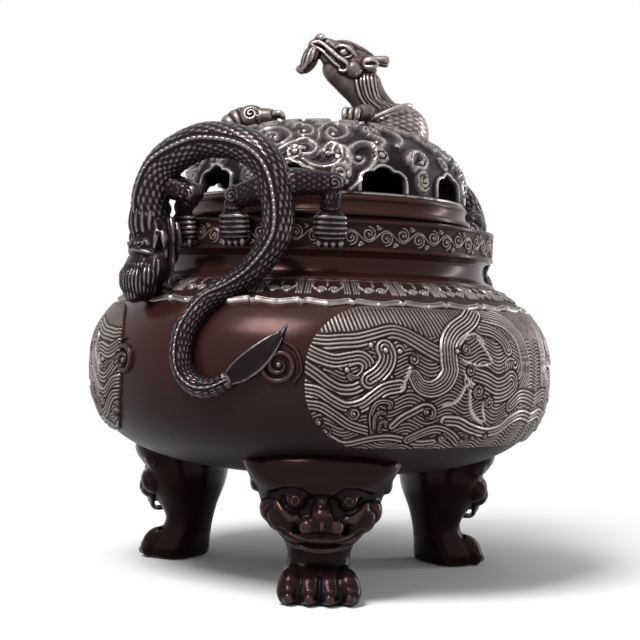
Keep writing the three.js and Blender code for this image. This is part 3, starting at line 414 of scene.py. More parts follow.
def relax(mesh, rounds, amount=0.5):
    """Evens out a mesh."""
    edges = mesh_edges(mesh)
    points = mesh_points(mesh)
    for _ in range(rounds):
        points += amount * (neighbour_means(points, edges) - points)
    set_points(mesh, points)


def edge_wear_and_hollow_shade(mesh, spread=3, reach_mm=0.1):
    """Keeps for the material how far each vertex stands out: 0 in hollows, 0.5 on flats, 1 on edges. The
    material darkens the hollows by it, as patina and as painted shade.
    """
    edges = mesh_edges(mesh)
    points = mesh_points(mesh)
    far = points
    for _ in range(spread):
        far = neighbour_means(far, edges)
    out = ((points - far) * vertex_vectors(mesh, "normal")).sum(axis=1)
    out = neighbour_means(out, edges)
    set_relief(mesh, np.clip(0.5 + 0.5 * out / reach_mm, 0, 1))
    return mesh


def set_relief(mesh, tone):
    """Keeps the tone of the relief for the material."""
    if "relief" not in mesh.attributes:
        mesh.attributes.new("relief", "FLOAT", "POINT")
    mesh.attributes["relief"].data.foreach_set("value", np.asarray(tone, np.float32))


def as_mesh(bm, name):
    """Keeps a bmesh as a new mesh, and frees it."""
    mesh = bpy.data.meshes.new(name)
    bm.to_mesh(mesh)
    bm.free()
    return mesh


def grid(name, columns, rows, closed=False):
    """A grid of faces and the share of its width and height at each vertex."""
    bm = bmesh.new()
    bmesh.ops.create_grid(bm, x_segments=columns, y_segments=rows, size=0.5)
    if closed:
        left = {round(v.co.y * rows): v for v in bm.verts if v.co.x < -0.5 + 0.25 / columns}
        seam = {v: left[round(v.co.y * rows)] for v in bm.verts if v.co.x > 0.5 - 0.25 / columns}
        bmesh.ops.weld_verts(bm, targetmap=seam)
    mesh = as_mesh(bm, name)
    shares = mesh_points(mesh)[:, :2] * MM + 0.5
    return mesh, shares[:, 0], shares[:, 1]


def disc(name, cells, radius):
    """A square grid pressed into a disc, and the flat places of its vertices."""
    mesh, across, up = grid(name, cells, cells)
    square = np.stack([2 * across - 1, 2 * up - 1], axis=1)
    ring = np.abs(square).max(axis=1)
    return mesh, square * (ring / np.maximum(np.hypot(*square.T), 1e-9))[:, None] * radius


def in_scene(name, data):
    """A new object in the scene."""
    made = bpy.data.objects.new(name, data)
    bpy.context.scene.collection.objects.link(made)
    return made


def finish_piece(name, mesh, material, body, stands_for=()):
    """Makes a mesh into a piece of the model that rides on a body and stands for CAD nodes."""
    mesh.polygons.foreach_set("use_smooth", np.ones(len(mesh.polygons), bool))
    mesh.materials.clear()
    mesh.materials.append(material)
    piece = in_scene(name, mesh)
    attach(piece, body)
    if stands_for:
        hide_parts(*stands_for)


# What the photograph shows, as places on the shells


def seen_on(shell, pixels, lift=0.0):
    """Places that pixels of the photograph show on a shell, as azimuth and length along its outline."""
    pixels = np.atleast_2d(np.asarray(pixels, float))
    level_x = pixels[:, 0] + CAMERA_ROLL * (pixels[:, 1] - PRINCIPAL_PIXEL[1])
    level_y = pixels[:, 1] - CAMERA_ROLL * (pixels[:, 0] - 0.5 * IMAGE_PIXELS)
    side = (level_x - PRINCIPAL_PIXEL[0]) / FOCAL_PIXELS
    rise = (PRINCIPAL_PIXEL[1] - level_y) / FOCAL_PIXELS
    angle = math.radians(CAMERA_AZIMUTH)
    toward = np.array([math.sin(angle), -math.cos(angle), 0])
    right = np.array([math.cos(angle), math.sin(angle), 0])
    eye = toward * CAMERA_DISTANCE + np.array([0, 0, CAMERA_HEIGHT])
    depth = np.arange(*SIGHT_DEPTHS)
    way = -toward + right * side[:, None] + np.array([0, 0, 1]) * rise[:, None]
    points = eye + way[:, None, :] * depth[None, :, None]
    inside = np.hypot(points[..., 0], points[..., 1]) < shell.radius_at(points[..., 2]) + lift
    chosen = points[np.arange(len(points)), np.argmax(inside, axis=1)]
    azimuth = np.degrees(np.arctan2(chosen[:, 0], -chosen[:, 1]))
    return azimuth, shell.length_at(chosen[:, 2])


def on_panel(pixels):
    """Flat places of the photograph's pixels on the left half of the front wave panel."""
    azimuth, length = seen_on(BOWL, pixels, 1.5)
    return np.stack([azimuth * BOWL_TURN, length], axis=1)


DOME_LENGTH = float(DOME.length_at(DOME_BASE_Z + DOME_HEIGHT))


def dome_flat(azimuth, length):
    """The dome laid flat: its crown in the middle, with true lengths outwards."""
    angle = np.radians(azimuth)
    out = DOME_LENGTH - length
    return np.stack([out * np.sin(angle), -out * np.cos(angle)], axis=-1)


def on_dome(pixels):
    return dome_flat(*seen_on(DOME, pixels, 1.0))


# Finishes

BUMP_DEPTH = 0.05
CLOUDINESS = 0.6
GRAIN = 0.2
BROWN_SHARE = 0.15


class Value:
    """A shader socket that takes part in sums with others and with numbers."""

    def __init__(self, nodes, socket):
        self.nodes = nodes
        self.socket = socket

    def worked(self, operation, first, second):
        return self.nodes.node("ShaderNodeMath", {"operation": operation}, first, second)

    def __add__(self, other):
        return self.worked("ADD", self, other)

    def __sub__(self, other):
        return self.worked("SUBTRACT", self, other)

    def __rsub__(self, other):
        return self.worked("SUBTRACT", other, self)

    def __mul__(self, other):
        return self.worked("MULTIPLY", self, other)

    __radd__ = __add__
    __rmul__ = __mul__

    def at_least(self, other):
        return self.worked("MAXIMUM", self, other)

    def clamped(self, low=0.0, high=1.0):
        return self.worked("MINIMUM", self.at_least(low), high)


class Nodes:
    """A node tree that is filled by expressions."""

    def __init__(self, tree):
        self.tree = tree
        tree.nodes.clear()

    def give(self, socket, value):
        if isinstance(value, Value):
            self.tree.links.new(value.socket, socket)
        elif value is not None:
            socket.default_value = value

    def node(self, kind, settings=None, *values, result=0, **named):
        """Adds a node: its settings first, then the values or links of its sockets. None keeps a socket."""
        made = self.tree.nodes.new(kind)
        for key, value in (settings or {}).items():
            if key == "stops":
                ramp = made.color_ramp.elements
                while len(ramp) < len(value):
                    ramp.new(0.5)
                for element, (place, colour) in zip(ramp, value):
                    element.position = place
                    element.color = (*colour, 1)
            else:
                setattr(made, key, value)
        for socket, value in zip(made.inputs, values):
            self.give(socket, value)
        for key, value in named.items():
            self.give(made.inputs[key.replace("_", " ")], value)
        return Value(self, made.outputs[result])


class Finish(Nodes):
    """One procedural material and the nodes that make it up."""

    def __init__(self, name):
        self.material = bpy.data.materials.new(name)
        self.material.use_nodes = True
        super().__init__(self.material.node_tree)
        self.output = self.tree.nodes.new("ShaderNodeOutputMaterial")

    def mix(self, share, first, second):
        """A mix of two colours."""
        colours = [value if isinstance(value, Value) else (*value, 1) for value in (first, second)]
        return self.node("ShaderNodeMix", {"data_type": "RGBA"}, share, *[None] * 5, *colours, result=2)

    def place(self):
        """Object coordinates."""
        return self.node("ShaderNodeTexCoord", result=3)

    def noise(self, size_mm, detail, roughness):
        """Noise whose features are about this size."""
        return self.node("ShaderNodeTexNoise", None, Vector=self.place(), Scale=1 / (size_mm * MM),
                         Detail=detail, Roughness=roughness)

    def shade(self, bumps, bump_strength, **values):
        """The metal, with shallow bumps from a value."""
        normal = self.node("ShaderNodeBump", None, Strength=bump_strength, Distance=BUMP_DEPTH * MM,
                           Height=bumps)
        shader = self.node("ShaderNodeBsdfPrincipled", None, Normal=normal, **values)
        self.give(self.output.inputs[0], shader)
        return self.material


def colour_setting(name, description, default):
    """A colour setting."""
    return bpy.props.FloatVectorProperty(name=name, description=description, subtype="COLOR", size=3,
                                         default=default, min=0, max=1)


class BronzeColours(bpy.types.PropertyGroup):
    """Colours of the patina, of the rubbed metal, and of the painted shade."""

    polished: colour_setting("Polished brown", "Lacquer-like brown of the smooth bowl, neck and seat ring",
                             (0.034, 0.012, 0.010))
    warm: colour_setting("Warm brown", "Redder brown that shows through in clouds", (0.062, 0.018, 0.013))
    # The hollows' near-black is patina and painted shade in the relief's hollows, and painted shade on the
    # bowl's underside
    dark: colour_setting("Hollows", "Near-black patina in the hollows of the relief", (0.006, 0.004, 0.005))
    dusk: colour_setting("Purple brown", "Dark purplish patina of the dragons and the dome",
                         (0.022, 0.013, 0.018))
    silver: colour_setting("Rubbed silver", "Grey metal on the ridges of the relief", (0.50, 0.45, 0.43))


def polished_finish(name, colours, redder=False, roughness=0.24):
    """Smooth, glossy brown bronze with faint clouds of red and fine pores, and painted shade that darkens it
    towards the bottom.
    """
    body, cloud = (colours.warm, colours.polished) if redder else (colours.polished, colours.warm)
    finish = Finish(name)
    broad = finish.noise(38, 2, 0.5)
    fine = finish.noise(2.6, 4, 0.6)
    pores = finish.noise(0.7, 2, 0.6)
    base = finish.mix(((broad - 0.42) * 2.2).clamped() * CLOUDINESS, body, cloud)
    base = finish.mix(((fine - 0.5) * 1.1).clamped() * 0.5, base, colours.dark)
    height = finish.node("ShaderNodeSeparateXYZ", None, finish.place(), result=2)
    # Painted shade: towards the bottom the base colour goes to the hollows' near-black, the metal drops and
    # the roughness rises, so the underside looks shaded
    painted_shade = ((PAINTED_SHADE_TOP_Z * MM - height) * (1 / (PAINTED_SHADE_DEPTH * MM))).clamped()
    base = finish.mix(painted_shade * 0.85, base, colours.dark)
    rough = (fine - 0.5) * 0.16 + (broad - 0.5) * 0.12 + roughness + painted_shade * 0.2
    return finish.shade(fine * 0.7 + pores * 0.3, 0.5, Base_Color=base, Metallic=(1 - painted_shade) * 0.3,
                        Roughness=rough.clamped(0.05, 0.9), Specular_IOR_Level=0.13)


# Each carved finish: its tones from hollow to ridge, as places and shares of silver, its roughness in
# hollows and on ridges, its metal there, and the brown between
CARVED_FINISHES = {
    "curl": (((0, 0), (0.5, 0.1), (0.8, 0.2), (1, 0.4)), (0.36, 0.26), (0.05, 0.85), "polished"),
    "frieze": (((0, 0.02), (0.3, 0.12), (0.6, 0.24), (1, 0.5)), (0.5, 0.34), (0.05, 0.85), "polished"),
    "lappet": (((0, 0), (0.2, 0.12), (0.6, 0.4), (1, 0.78)), (0.5, 0.34), (0.05, 0.85), "polished"),
    "wave": (((0, 0.03), (0.4, 0.18), (0.75, 0.5), (1, 0.8)), (0.5, 0.34), (0.05, 0.85), "polished"),
    "leg": (((0, 0), (0.5, 0.04), (0.72, 0.08), (1, 0.2)), (0.28, 0.16), (0.25, 0.6), "polished"),
    "dragon": (((0, 0), (0.45, 0.05), (0.72, 0.13), (1, 0.46)), (0.42, 0.27), (0.05, 0.85), "dusk"),
    "cloud": (((0, 0), (0.3, 0.06), (0.5, 0.24), (1, 0.8)), (0.42, 0.28), (0.05, 0.85), "dusk"),
    "knob": (((0, 0), (0.4, 0.12), (0.62, 0.34), (1, 0.85)), (0.45, 0.28), (0.05, 0.85), "polished"),
}


def relief_finish(kind, colours):
    """Carved bronze: dark in the hollows, as patina and as painted shade, with metal rubbed bright along the
    ridges.
    """
    shares, roughness, metal, middle = CARVED_FINISHES[kind]
    finish = Finish(f"{kind} bronze")
    tone = finish.node("ShaderNodeAttribute", {"attribute_name": "relief"}, result=2)
    patches = finish.noise(7.5, 3, 0.6)
    fine = finish.noise(0.9, 3, 0.6)
    wear_and_hollow_shade = (tone + (patches - 0.5) * (GRAIN * 1.6) + (fine - 0.5) * GRAIN).clamped()
    base = finish.node("ShaderNodeValToRGB", {"stops": tones(colours, shares, middle)}, wear_and_hollow_shade)
    rough = (1 - wear_and_hollow_shade) * (roughness[0] - roughness[1]) + roughness[1] + (fine - 0.5) * 0.12
    metallic = wear_and_hollow_shade * (metal[1] - metal[0]) + metal[0]
    return finish.shade(fine, 0.4, Base_Color=base, Metallic=metallic.clamped(),
                        Roughness=rough.clamped(0.08, 0.95), Specular_IOR_Level=0.1)


def tones(colours, shares, middle):
    """Ramp stops from the hollows' colour, which is patina and painted shade, over a brown to rubbed silver.
    """
    dark, brown, silver = (np.array(tuple(getattr(colours, key))) for key in ("dark", middle, "silver"))
    stops = []
    for place, share in shares:
        if share < BROWN_SHARE:
            colour = dark + (brown - dark) * share / BROWN_SHARE
        else:
            colour = brown + (silver - brown) * (share - BROWN_SHARE) / (1 - BROWN_SHARE)
        stops.append((place, tuple(colour)))
    return stops


# Vessel


def shell_profile(shell, bottom, top, count):
    """Outline of a shell between two heights, as radius and height. It meets the axis exactly."""
    lengths = np.linspace(shell.length_at(bottom), shell.length_at(top), count)
    radii, heights = shell.outline_at(lengths)
    return [(float(r) if r > 1e-6 else 0.0, float(z)) for r, z in zip(radii, heights)]


def lathe(name, outline, bevel, steps=LATHE_STEPS):
    """Turns a closed outline of radius and height round the Z axis, and softens its sharp edges."""
    bm = bmesh.new()
    corners = [bm.verts.new((radius * MM, 0, z * MM)) for radius, z in outline]
    for a, b in zip(corners, [*corners[1:], corners[0]]):
        if a.co.x or b.co.x:
            bm.edges.new((a, b))
    bmesh.ops.spin(bm, geom=bm.verts[:] + bm.edges[:], cent=(0, 0, 0), axis=UP,
                   angle=2 * math.pi, steps=steps, use_merge=True)
    bmesh.ops.remove_doubles(bm, verts=bm.verts[:], dist=1e-7)
    bmesh.ops.recalc_face_normals(bm, faces=bm.faces[:])
    if bevel:
        sharp = [edge for edge in bm.edges if edge.is_manifold and edge.calc_face_angle(0) > 0.55]
        bmesh.ops.bevel(bm, geom=sharp, offset=bevel * MM, segments=3, profile=0.5, affect="EDGES",
                        material=-1)
    return as_mesh(bm, name)


NECK_BASE_Z = high_z("bowl") - SPIGOT_HEIGHT
COLLAR_FOOT_Z = low_z("rim_collar")
LIP_Z = high_z("rim_collar")
BAND_RADIUS = NECK_BORE_RADIUS + NECK_WALL + BAND_PROJECTION
FOOT_RADIUS = NECK_BASE_RADIUS + FOOT_MOULDING_STEP
GROUND_RADIUS = BAND_RADIUS - 1.0
GROUND_LOW_Z = LIP_Z - BAND_HEIGHT + BAND_BORDER + 0.1
GROUND_HIGH_Z = LIP_Z - BAND_BORDER - 0.1


def bowl_outline():
    inner = BOWL.inside(BOWL_WALL)
    spigot_radius = NECK_BORE_RADIUS + SPIGOT_WALL
    spigot_top = NECK_BASE_Z + SPIGOT_HEIGHT
    bottom = BOWL_MIDDLE_Z - BOWL_DEPTH_BELOW
    outside = shell_profile(BOWL, bottom, NECK_BASE_Z, 110)
    inside = shell_profile(inner, bottom + BOWL_WALL, inner.upper_z(NECK_BORE_RADIUS), 60)
    spigot = [(spigot_radius, NECK_BASE_Z), (spigot_radius, spigot_top), (NECK_BORE_RADIUS, spigot_top)]
    return [*outside, *spigot, *reversed(inside)]


def collar_outline():
    """Half-round foot, hollow neck, frieze band with a sunk ground, and the flat lip."""
    foot_top = COLLAR_FOOT_Z + FOOT_MOULDING_HEIGHT
    neck_radius = NECK_BORE_RADIUS + NECK_WALL
    band_bottom = LIP_Z - BAND_HEIGHT
    socket = NECK_BORE_RADIUS + SPIGOT_WALL + FIT
    spigot_top = NECK_BASE_Z + SPIGOT_HEIGHT + FIT
    foot = [(FOOT_RADIUS - 0.5 + 0.5 * math.sin(a),
             COLLAR_FOOT_Z + FOOT_MOULDING_HEIGHT * (0.5 - 0.5 * math.cos(a)))
            for a in np.linspace(0.35, math.pi - 0.35, 7)]
    neck = smooth_line([(FOOT_RADIUS - 1.6, foot_top + 0.5), (neck_radius + 0.6, foot_top + 2.2),
                        (neck_radius - NECK_WAIST, foot_top + 6.2), (neck_radius - 0.5, band_bottom - 2.6),
                        (neck_radius + 1.7, band_bottom - 0.4)], 0.6)
    band = [(BAND_RADIUS - 0.1, band_bottom), (BAND_RADIUS, band_bottom + BAND_BORDER),
            (GROUND_RADIUS, GROUND_LOW_Z), (GROUND_RADIUS, GROUND_HIGH_Z),
            (BAND_RADIUS, LIP_Z - BAND_BORDER), (BAND_RADIUS, LIP_Z)]
    mouth_radius = reach("lid_ring") - MOUTH_INSET
    inside = [(mouth_radius, LIP_Z), (mouth_radius, LIP_Z - LIP_THICKNESS),
              (NECK_BORE_RADIUS, LIP_Z - LIP_THICKNESS), (NECK_BORE_RADIUS, spigot_top),
              (socket, spigot_top), (socket, COLLAR_FOOT_Z)]
    return [*foot, *map(tuple, neck), *band, *inside]


FRIEZE_UNITS = 64


def frieze_drawing(places, period):
    """Running scroll: curls that turn up and down in turn on a wavy stem."""
    drawing = Relief(places, height=0.05, tone=0.12)
    unit = period / 2
    stem = [(unit * share, 2.6 * math.sin(math.pi * share)) for share in np.arange(-1.5, 4.01, 0.25)]
    drawing.ridge(stem, 0.45, rise=0.7)
    for step in range(-1, 4):
        up = 1 if step % 2 else -1
        centre = (unit * (step + 0.5), up * 0.9)
        drawing.ridge(spiral(centre, 3.3, 1.9, start=90 * up, hand=-up, inner=0.15), 0.5, rise=0.8, end=0.7)
        drawing.bead(centre, 0.75, rise=0.85)
        leaf = [(unit * (step + 0.95), up * 4.9), (unit * (step + 1.12), up * 3.6),
                (unit * (step + 1.0), up * 2.7)]
        drawing.ridge(leaf, 0.5, rise=0.7, end=0.4)
        small = spiral((unit * (step + 0.06), -up * 4.0), 1.3, 1.0, hand=up, inner=0.2)
        drawing.ridge(small, 0.38, rise=0.6)
    return drawing


def frieze_mesh(height):
    """The sunk frieze of scrolls round the band."""
    mesh, across, up = grid("scroll_frieze", *FRIEZE_CELLS, closed=True)
    tall = GROUND_HIGH_Z - GROUND_LOW_Z
    period = 2 * math.pi * BAND_RADIUS * 2 / FRIEZE_UNITS
    turn = (across * FRIEZE_UNITS / 2) % 1 * period
    drawing = frieze_drawing(np.stack([turn, (up - 0.5) * tall], axis=1), period)
    edge = stepped(np.minimum(up, 1 - up), 0, 0.03)
    radius = GROUND_RADIUS - 0.05 + np.clip(drawing.height, 0, height) * edge
    set_points(mesh, around(radius, across * 360, GROUND_LOW_Z + up * tall))
    set_relief(mesh, drawing.tone)
    return facing_out(mesh)


def lappet_edge(share):
    """Lower edge of the lappet band over one lappet: a pointed drop, and a small drop between."""
    away = np.abs(share)
    point = LAPPET_SCALLOP * (away / LAPPET_POINT) ** 0.85
    return np.where(away < LAPPET_POINT, point, LAPPET_SCALLOP - 0.9 * stepped(away, 0.42, 0.5))


def lappet_drawing(places, width, drop):
    """One lappet: its cord border, two curls inside, and strokes beside them."""
    drawing = Relief(places, height=0.6, tone=0.15)
    half = width / 2
    border = [(-half, 1.5), (-half * 0.86, 2.2), (-half * 0.5, 1.4), (0, 0.6), (half * 0.5, 1.4),
              (half * 0.86, 2.2), (half, 1.5)]
    drawing.ridge(border, 0.7, rise=1.15)
    inner = [(x * 0.93, z + 1.55) for x, z in border]
    drawing.ridge(inner, 0.48, rise=0.95, tone=0.9)
    for side in (-1, 1):
        centre = (side * width * 0.14, drop * 0.48)
        drawing.ridge(spiral(centre, 2.3, 1.6, start=90 + 90 * side, hand=-side, inner=0.2), 0.5)
        tail = [(side * width * 0.26, drop * 0.52), (side * width * 0.33, drop * 0.66),
                (side * width * 0.28, drop * 0.82)]
        drawing.ridge(tail, 0.5, rise=0.95, end=0.4)
        for step in range(3):
            x = side * (half - 0.8 - 1.15 * step)
            drawing.ridge([(x, drop * 0.36), (x - side * 0.25, drop * 0.84)], 0.42, rise=0.85, tone=0.85)
    drawing.ridge([(0, drop * 0.66), (0, drop * 0.84)], 0.5, rise=0.95, end=0.5)
    drawing.ridge([(-half, drop * 0.93), (half, drop * 0.93)], 0.55)
    return drawing


def lappet_mesh(lift):
    """The band of hanging lappets round the shoulder."""
    mesh, across, up = grid("lappets", *LAPPET_CELLS, closed=True)
    top = high_z("shoulder_lappet_band") - 1.3
    tip = low_z("shoulder_lappet_band") - 0.4
    share = (across * LAPPET_COUNT) % 1 - 0.5
    low = BOWL.length_at(tip)
    drop = float(BOWL.length_at(top) - low)
    edge = lappet_edge(share)
    width = 2 * math.pi * float(BOWL.radius_at((top + tip) / 2)) / LAPPET_COUNT
    rise = edge + up * (drop - edge)
    drawing = lappet_drawing(np.stack([share * width, rise], axis=1), width, drop)
    sunk = stepped(np.minimum(up, 1 - up) * LAPPET_CELLS[1], 0, 1.0)
    azimuth = LAPPET_START_AZIMUTH + across * 360 - 180 / LAPPET_COUNT
    height = (drawing.height + lift) * sunk - 0.35 * (1 - sunk)
    set_points(mesh, BOWL.point(azimuth, low + rise, height))
    set_relief(mesh, drawing.tone)
    return facing_out(mesh)


# Wave panels: what the photograph shows on the left half of the front panel, as curves through its pixels

# Long combed bands, from the back to the front: half width, settings, pixels
WAVE_BANDS = (
    (3.6, {"low": 0.8}, [(308, 341), (325, 343), (341, 342), (358, 341), (375, 337), (392, 333), (405, 336),
                         (418, 343), (430, 350), (442, 356)]),
    (3.2, {"end": 0.25, "border": 0.3}, [(305, 350), (320, 357), (335, 361), (350, 359), (361, 358),
                                         (368, 364), (366, 373), (358, 379), (351, 377), (347, 371)]),
    (2.8, {}, [(304, 366), (316, 374), (328, 383), (340, 389), (354, 389), (366, 383), (376, 379),
               (388, 378)]),
    (2.0, {}, [(302, 381), (311, 386), (322, 392), (334, 398)]),
    (4.2, {"border": 0.4}, [(385, 349), (388, 356), (386, 365), (379, 374), (370, 380)]),
    (3.2, {"border": 0.4}, [(304, 390), (318, 393), (332, 402), (346, 408), (362, 405), (374, 397),
                            (386, 389), (400, 386)]),
    (2.4, {}, [(306, 404), (320, 406), (334, 414), (350, 424), (370, 430)]),
    (2.0, {}, [(330, 436), (345, 442), (372, 437), (392, 436), (417, 441), (433, 440)]),
    (4.6, {"border": 0.3}, [(478, 316), (500, 322), (515, 335), (523, 352), (525, 375), (520, 388)]),
    (3.4, {}, [(480, 330), (492, 333), (503, 341), (508, 350)]),
    (6.0, {}, [(474, 380), (485, 384), (496, 390), (505, 388), (511, 383)]),
    (3.2, {}, [(510, 405), (520, 396), (530, 398), (537, 406)]),
    (2.6, {"border": 0.4}, [(445, 420), (458, 421), (470, 427), (484, 431), (498, 428), (510, 419),
                            (522, 414), (532, 419)]),
    (2.3, {}, [(408, 438), (424, 431), (438, 428), (450, 433), (458, 441)]),
    # Hooks in front of the bands, the serpentine crest in the middle, and the swoosh below it
    (1.1, {}, [(372, 431), (371, 415), (376, 404), (384, 401), (391, 403), (390, 407)]),
    (0.9, {}, [(374, 427), (375, 417), (380, 412), (385, 413)]),
    (0.8, {}, [(379, 428), (381, 422), (386, 421), (386, 425)]),
    (4.6, {"end": 0.6, "low": 0.9, "high": 1.8, "border": 0.5},
     [(473, 315), (468, 323), (455, 333), (449, 345), (449, 360), (450, 372), (444, 383), (432, 389),
      (421, 386), (414, 376)]),
    (1.9, {"end": 0.5, "high": 1.8}, [(392, 425), (402, 417), (414, 411), (425, 406), (433, 409), (433, 416),
                                      (427, 416)]),
)
# Single ridges: half width, rise, pixels
WAVE_RIDGES = (
    (1.1, 0.7, [(444, 405), (455, 402), (461, 395), (465, 387), (468, 385)]),
    (0.9, 0.8, [(402, 390), (407, 378), (411, 367)]),
    (1.1, 0.9, [(470, 391), (470, 407), (475, 417), (482, 421)]),
    (0.9, 0.8, [(483.6, 402), (482.6, 410), (484.7, 420)]),
    (0.8, 0.8, [(464, 371), (467, 379), (473, 385)]),
    (0.9, 0.9, [(478, 341), (484, 349), (492, 363)]),
    (0.8, 0.8, [(460, 346), (466, 338), (476, 336), (484, 345)]),
    (0.8, 0.7, [(462, 360), (470, 364), (480, 366), (490, 364)]),
)
# Round curls: pixel, radius, and the way that it winds
WAVE_CURLS = (
    ((414, 360), 2.3, 1), ((354, 413), 2.7, -1), ((427, 411), 1.8, -1), ((442, 436), 2.3, 1),
    ((462, 439), 1.5, -1), ((472, 436), 1.4, 1), ((485, 434), 1.4, -1), ((478.6, 391.6), 3.3, 1),
    ((488.8, 401.8), 2.8, -1), ((470.4, 371), 2.3, 1), ((326, 430), 2.2, 1), ((319, 421), 1.7, -1),
    ((466, 350), 2.4, -1),
)
WAVE_BEADS = ((347, 370), (371, 346), (386, 351), (457, 352), (400, 352), (300, 345))
# Nested arcs: pixel, radii, number of lines, and the angles between which they run
WAVE_NESTS = (((515, 361), (9.0, 13.5), 6, (185, 355)), ((400, 352), (7.0, 8.5), 5, (20, 175)))


def panel_drawing(places):
    """Relief over the left half of a panel. Places are millimetres along the bowl."""
    panel = Relief(places)
    u, v = panel.places[:, 0], panel.places[:, 1]
    hatch = np.sin(math.pi * (0.95 * u + 0.31 * v) / 1.9) ** 2
    waves = np.sin(math.pi * (v + 1.6 * np.sin(u / 3.1)) / STRAND_PITCH) ** 2
    upper = stepped(v, 15.0, 17.0)
    panel.height = 0.75 + 0.7 * (upper * hatch + (1 - upper) * waves)
    panel.tone = 0.9 * (upper * hatch + (1 - upper) * waves)
    for pixel, radii, lines, angles in WAVE_NESTS:
        panel.nest(on_panel(pixel)[0], radii, lines, angles)
    for half, settings, pixels in WAVE_BANDS:
        panel.strands(on_panel(pixels), half, **settings)
    for half, rise, pixels in WAVE_RIDGES:
        panel.ridge(on_panel(pixels), half, rise=rise)
    for pixel, radius, hand in WAVE_CURLS:
        panel.whorl(on_panel(pixel)[0], radius, hand)
    for pixel in WAVE_BEADS:
        panel.bead(on_panel(pixel)[0], 1.15, ground=1.1)
    return panel


def panel_half_mesh(tallest):
    """The half of the front wave panel on the left, from its middle to its end."""
    mesh, across, up = grid("wave_panel_half", *PANEL_CELLS)
    top = high_z("front_wave_panel") - 0.9
    low, high = BOWL.length_at(PANEL_BOTTOM_Z), BOWL.length_at(top)
    length = low + up * (high - low)
    radius, z = BOWL.outline_at(length)
    from_edge = np.clip(np.minimum(z - PANEL_BOTTOM_Z, top - z), 0, PANEL_CORNER)
    inset = PANEL_CORNER - np.sqrt(PANEL_CORNER ** 2 - (PANEL_CORNER - from_edge) ** 2)
    half_angle = PANEL_HALF_ANGLE - np.degrees(inset / radius)
    share = 1 - across
    azimuth = -share * half_angle
    drawing = panel_drawing(np.stack([azimuth * BOWL_TURN, length], axis=1))
    to_edge = np.minimum(np.minimum(up, 1 - up) * (high - low), (1 - share) * half_angle * BOWL_TURN)
    rim = stepped(to_edge, 0.0, 0.5)
    height = np.clip(drawing.height * rim - 0.5 * (1 - rim), -0.5, tallest)
    set_points(mesh, BOWL.point(azimuth, length, height))
    set_relief(mesh, drawing.tone * rim)
    return facing_out(mesh)


def mirrored(mesh):
    """A copy on the other side of the YZ plane."""
    copy = mesh.copy()
    copy.transform(Matrix.Scale(-1, 4, (1, 0, 0)))
    copy.flip_normals()
    return copy


def about_axis(mesh, angle):
    """The mesh turned about the vessel's axis, in degrees."""
    mesh.transform(Matrix.Rotation(math.radians(angle), 4, "Z"))
    return mesh


def facing_out(mesh):
    """Turns a mesh's faces away from the vessel's axis, if they look towards it."""
    if (mesh_points(mesh)[:, :2] * vertex_vectors(mesh, "normal")[:, :2]).sum() < 0:
        mesh.flip_normals()
    return mesh


def whorl_mesh(azimuth, z, hand):
    """A raised curl on the bowl's side, with a crescent tail."""
    mesh, places = disc("whorl", WHORL_CELLS, 11.5)
    drawing = Relief(places, height=-0.4, tone=0.4)
    curl = spiral((0, 0), 7.6, 1.9, start=200, hand=hand, inner=0.1)
    drawing.ridge(curl, 1.55, rise=2.3, end=0.6, tone=0.8)
    outer = [(hand * 6.5, -7.8), (hand * 9.9, -1.5), (hand * 7.2, 6.6), (hand * 1.0, 10.4)]
    drawing.ridge(outer, 1.1, rise=1.8, start=0.4, end=0.4, tone=0.7)
    drawing.bead((0, 0), 1.5, rise=2.2)
    length = BOWL.length_at(z) + places[:, 1]
    set_points(mesh, BOWL.point(azimuth + places[:, 0] / BOWL_TURN, length, drawing.height))
    set_relief(mesh, drawing.tone)
    return facing_out(mesh)


# Lid


def lid_ring_outline():
    """Seat ring: flange with its half-round edge, hollow waist, upper moulding, and the spigot."""
    seat = LIP_Z + FIT
    bottom, top = low_z("lid_ring"), high_z("lid_ring")
    edge = reach("lid_ring")
    spigot_radius = edge - LID_SPIGOT_INSET
    bore = spigot_radius - LID_SPIGOT_WALL
    # How far in from the flange's edge, and how high over the seat
    flange = ((2.05, 0), (2.05, 2.2), (0.3, 2.5), (0, 3.0), (0, 4.2), (0.4, 4.9), (1.2, LID_FLANGE_HEIGHT))
    waist = ((1.9, 5.4), (2.6, 7.6), (2.7, 9.6))
    moulding = ((2.2, 10.0), (2.0, 10.9), (2.4, 11.7))
    flange, waist, moulding = ([(edge - inset, seat + rise) for inset, rise in run]
                               for run in (flange, waist, moulding))
    return [(spigot_radius, bottom), (spigot_radius, seat), *flange, *map(tuple, smooth_line(waist, 0.5)),
            *moulding, (edge - 2.9, top), (DOME_RADIUS - DOME_WALL, top), (bore, seat + LID_FLANGE_HEIGHT),
            (bore, bottom)]


def window_outline(grow=0.0):
    """Round a window's arch of three lobes, as places across and up from its sill."""
    half, tall = WINDOW_WIDTH / 2, WINDOW_HEIGHT
    right = smooth_line([(half, 0), (half, tall * 0.36), (half * 0.93, tall * 0.62),
                         (half * 0.68, tall * 0.78), (half * 0.45, tall * 0.8),
                         (half * 0.26, tall * 0.93), (0, tall)], 0.4)
    line = np.vstack([right, (right[::-1] * (-1, 1))[1:]])
    away = line - (0, tall * 0.35)
    return line + grow * away / np.linalg.norm(away, axis=1, keepdims=True)


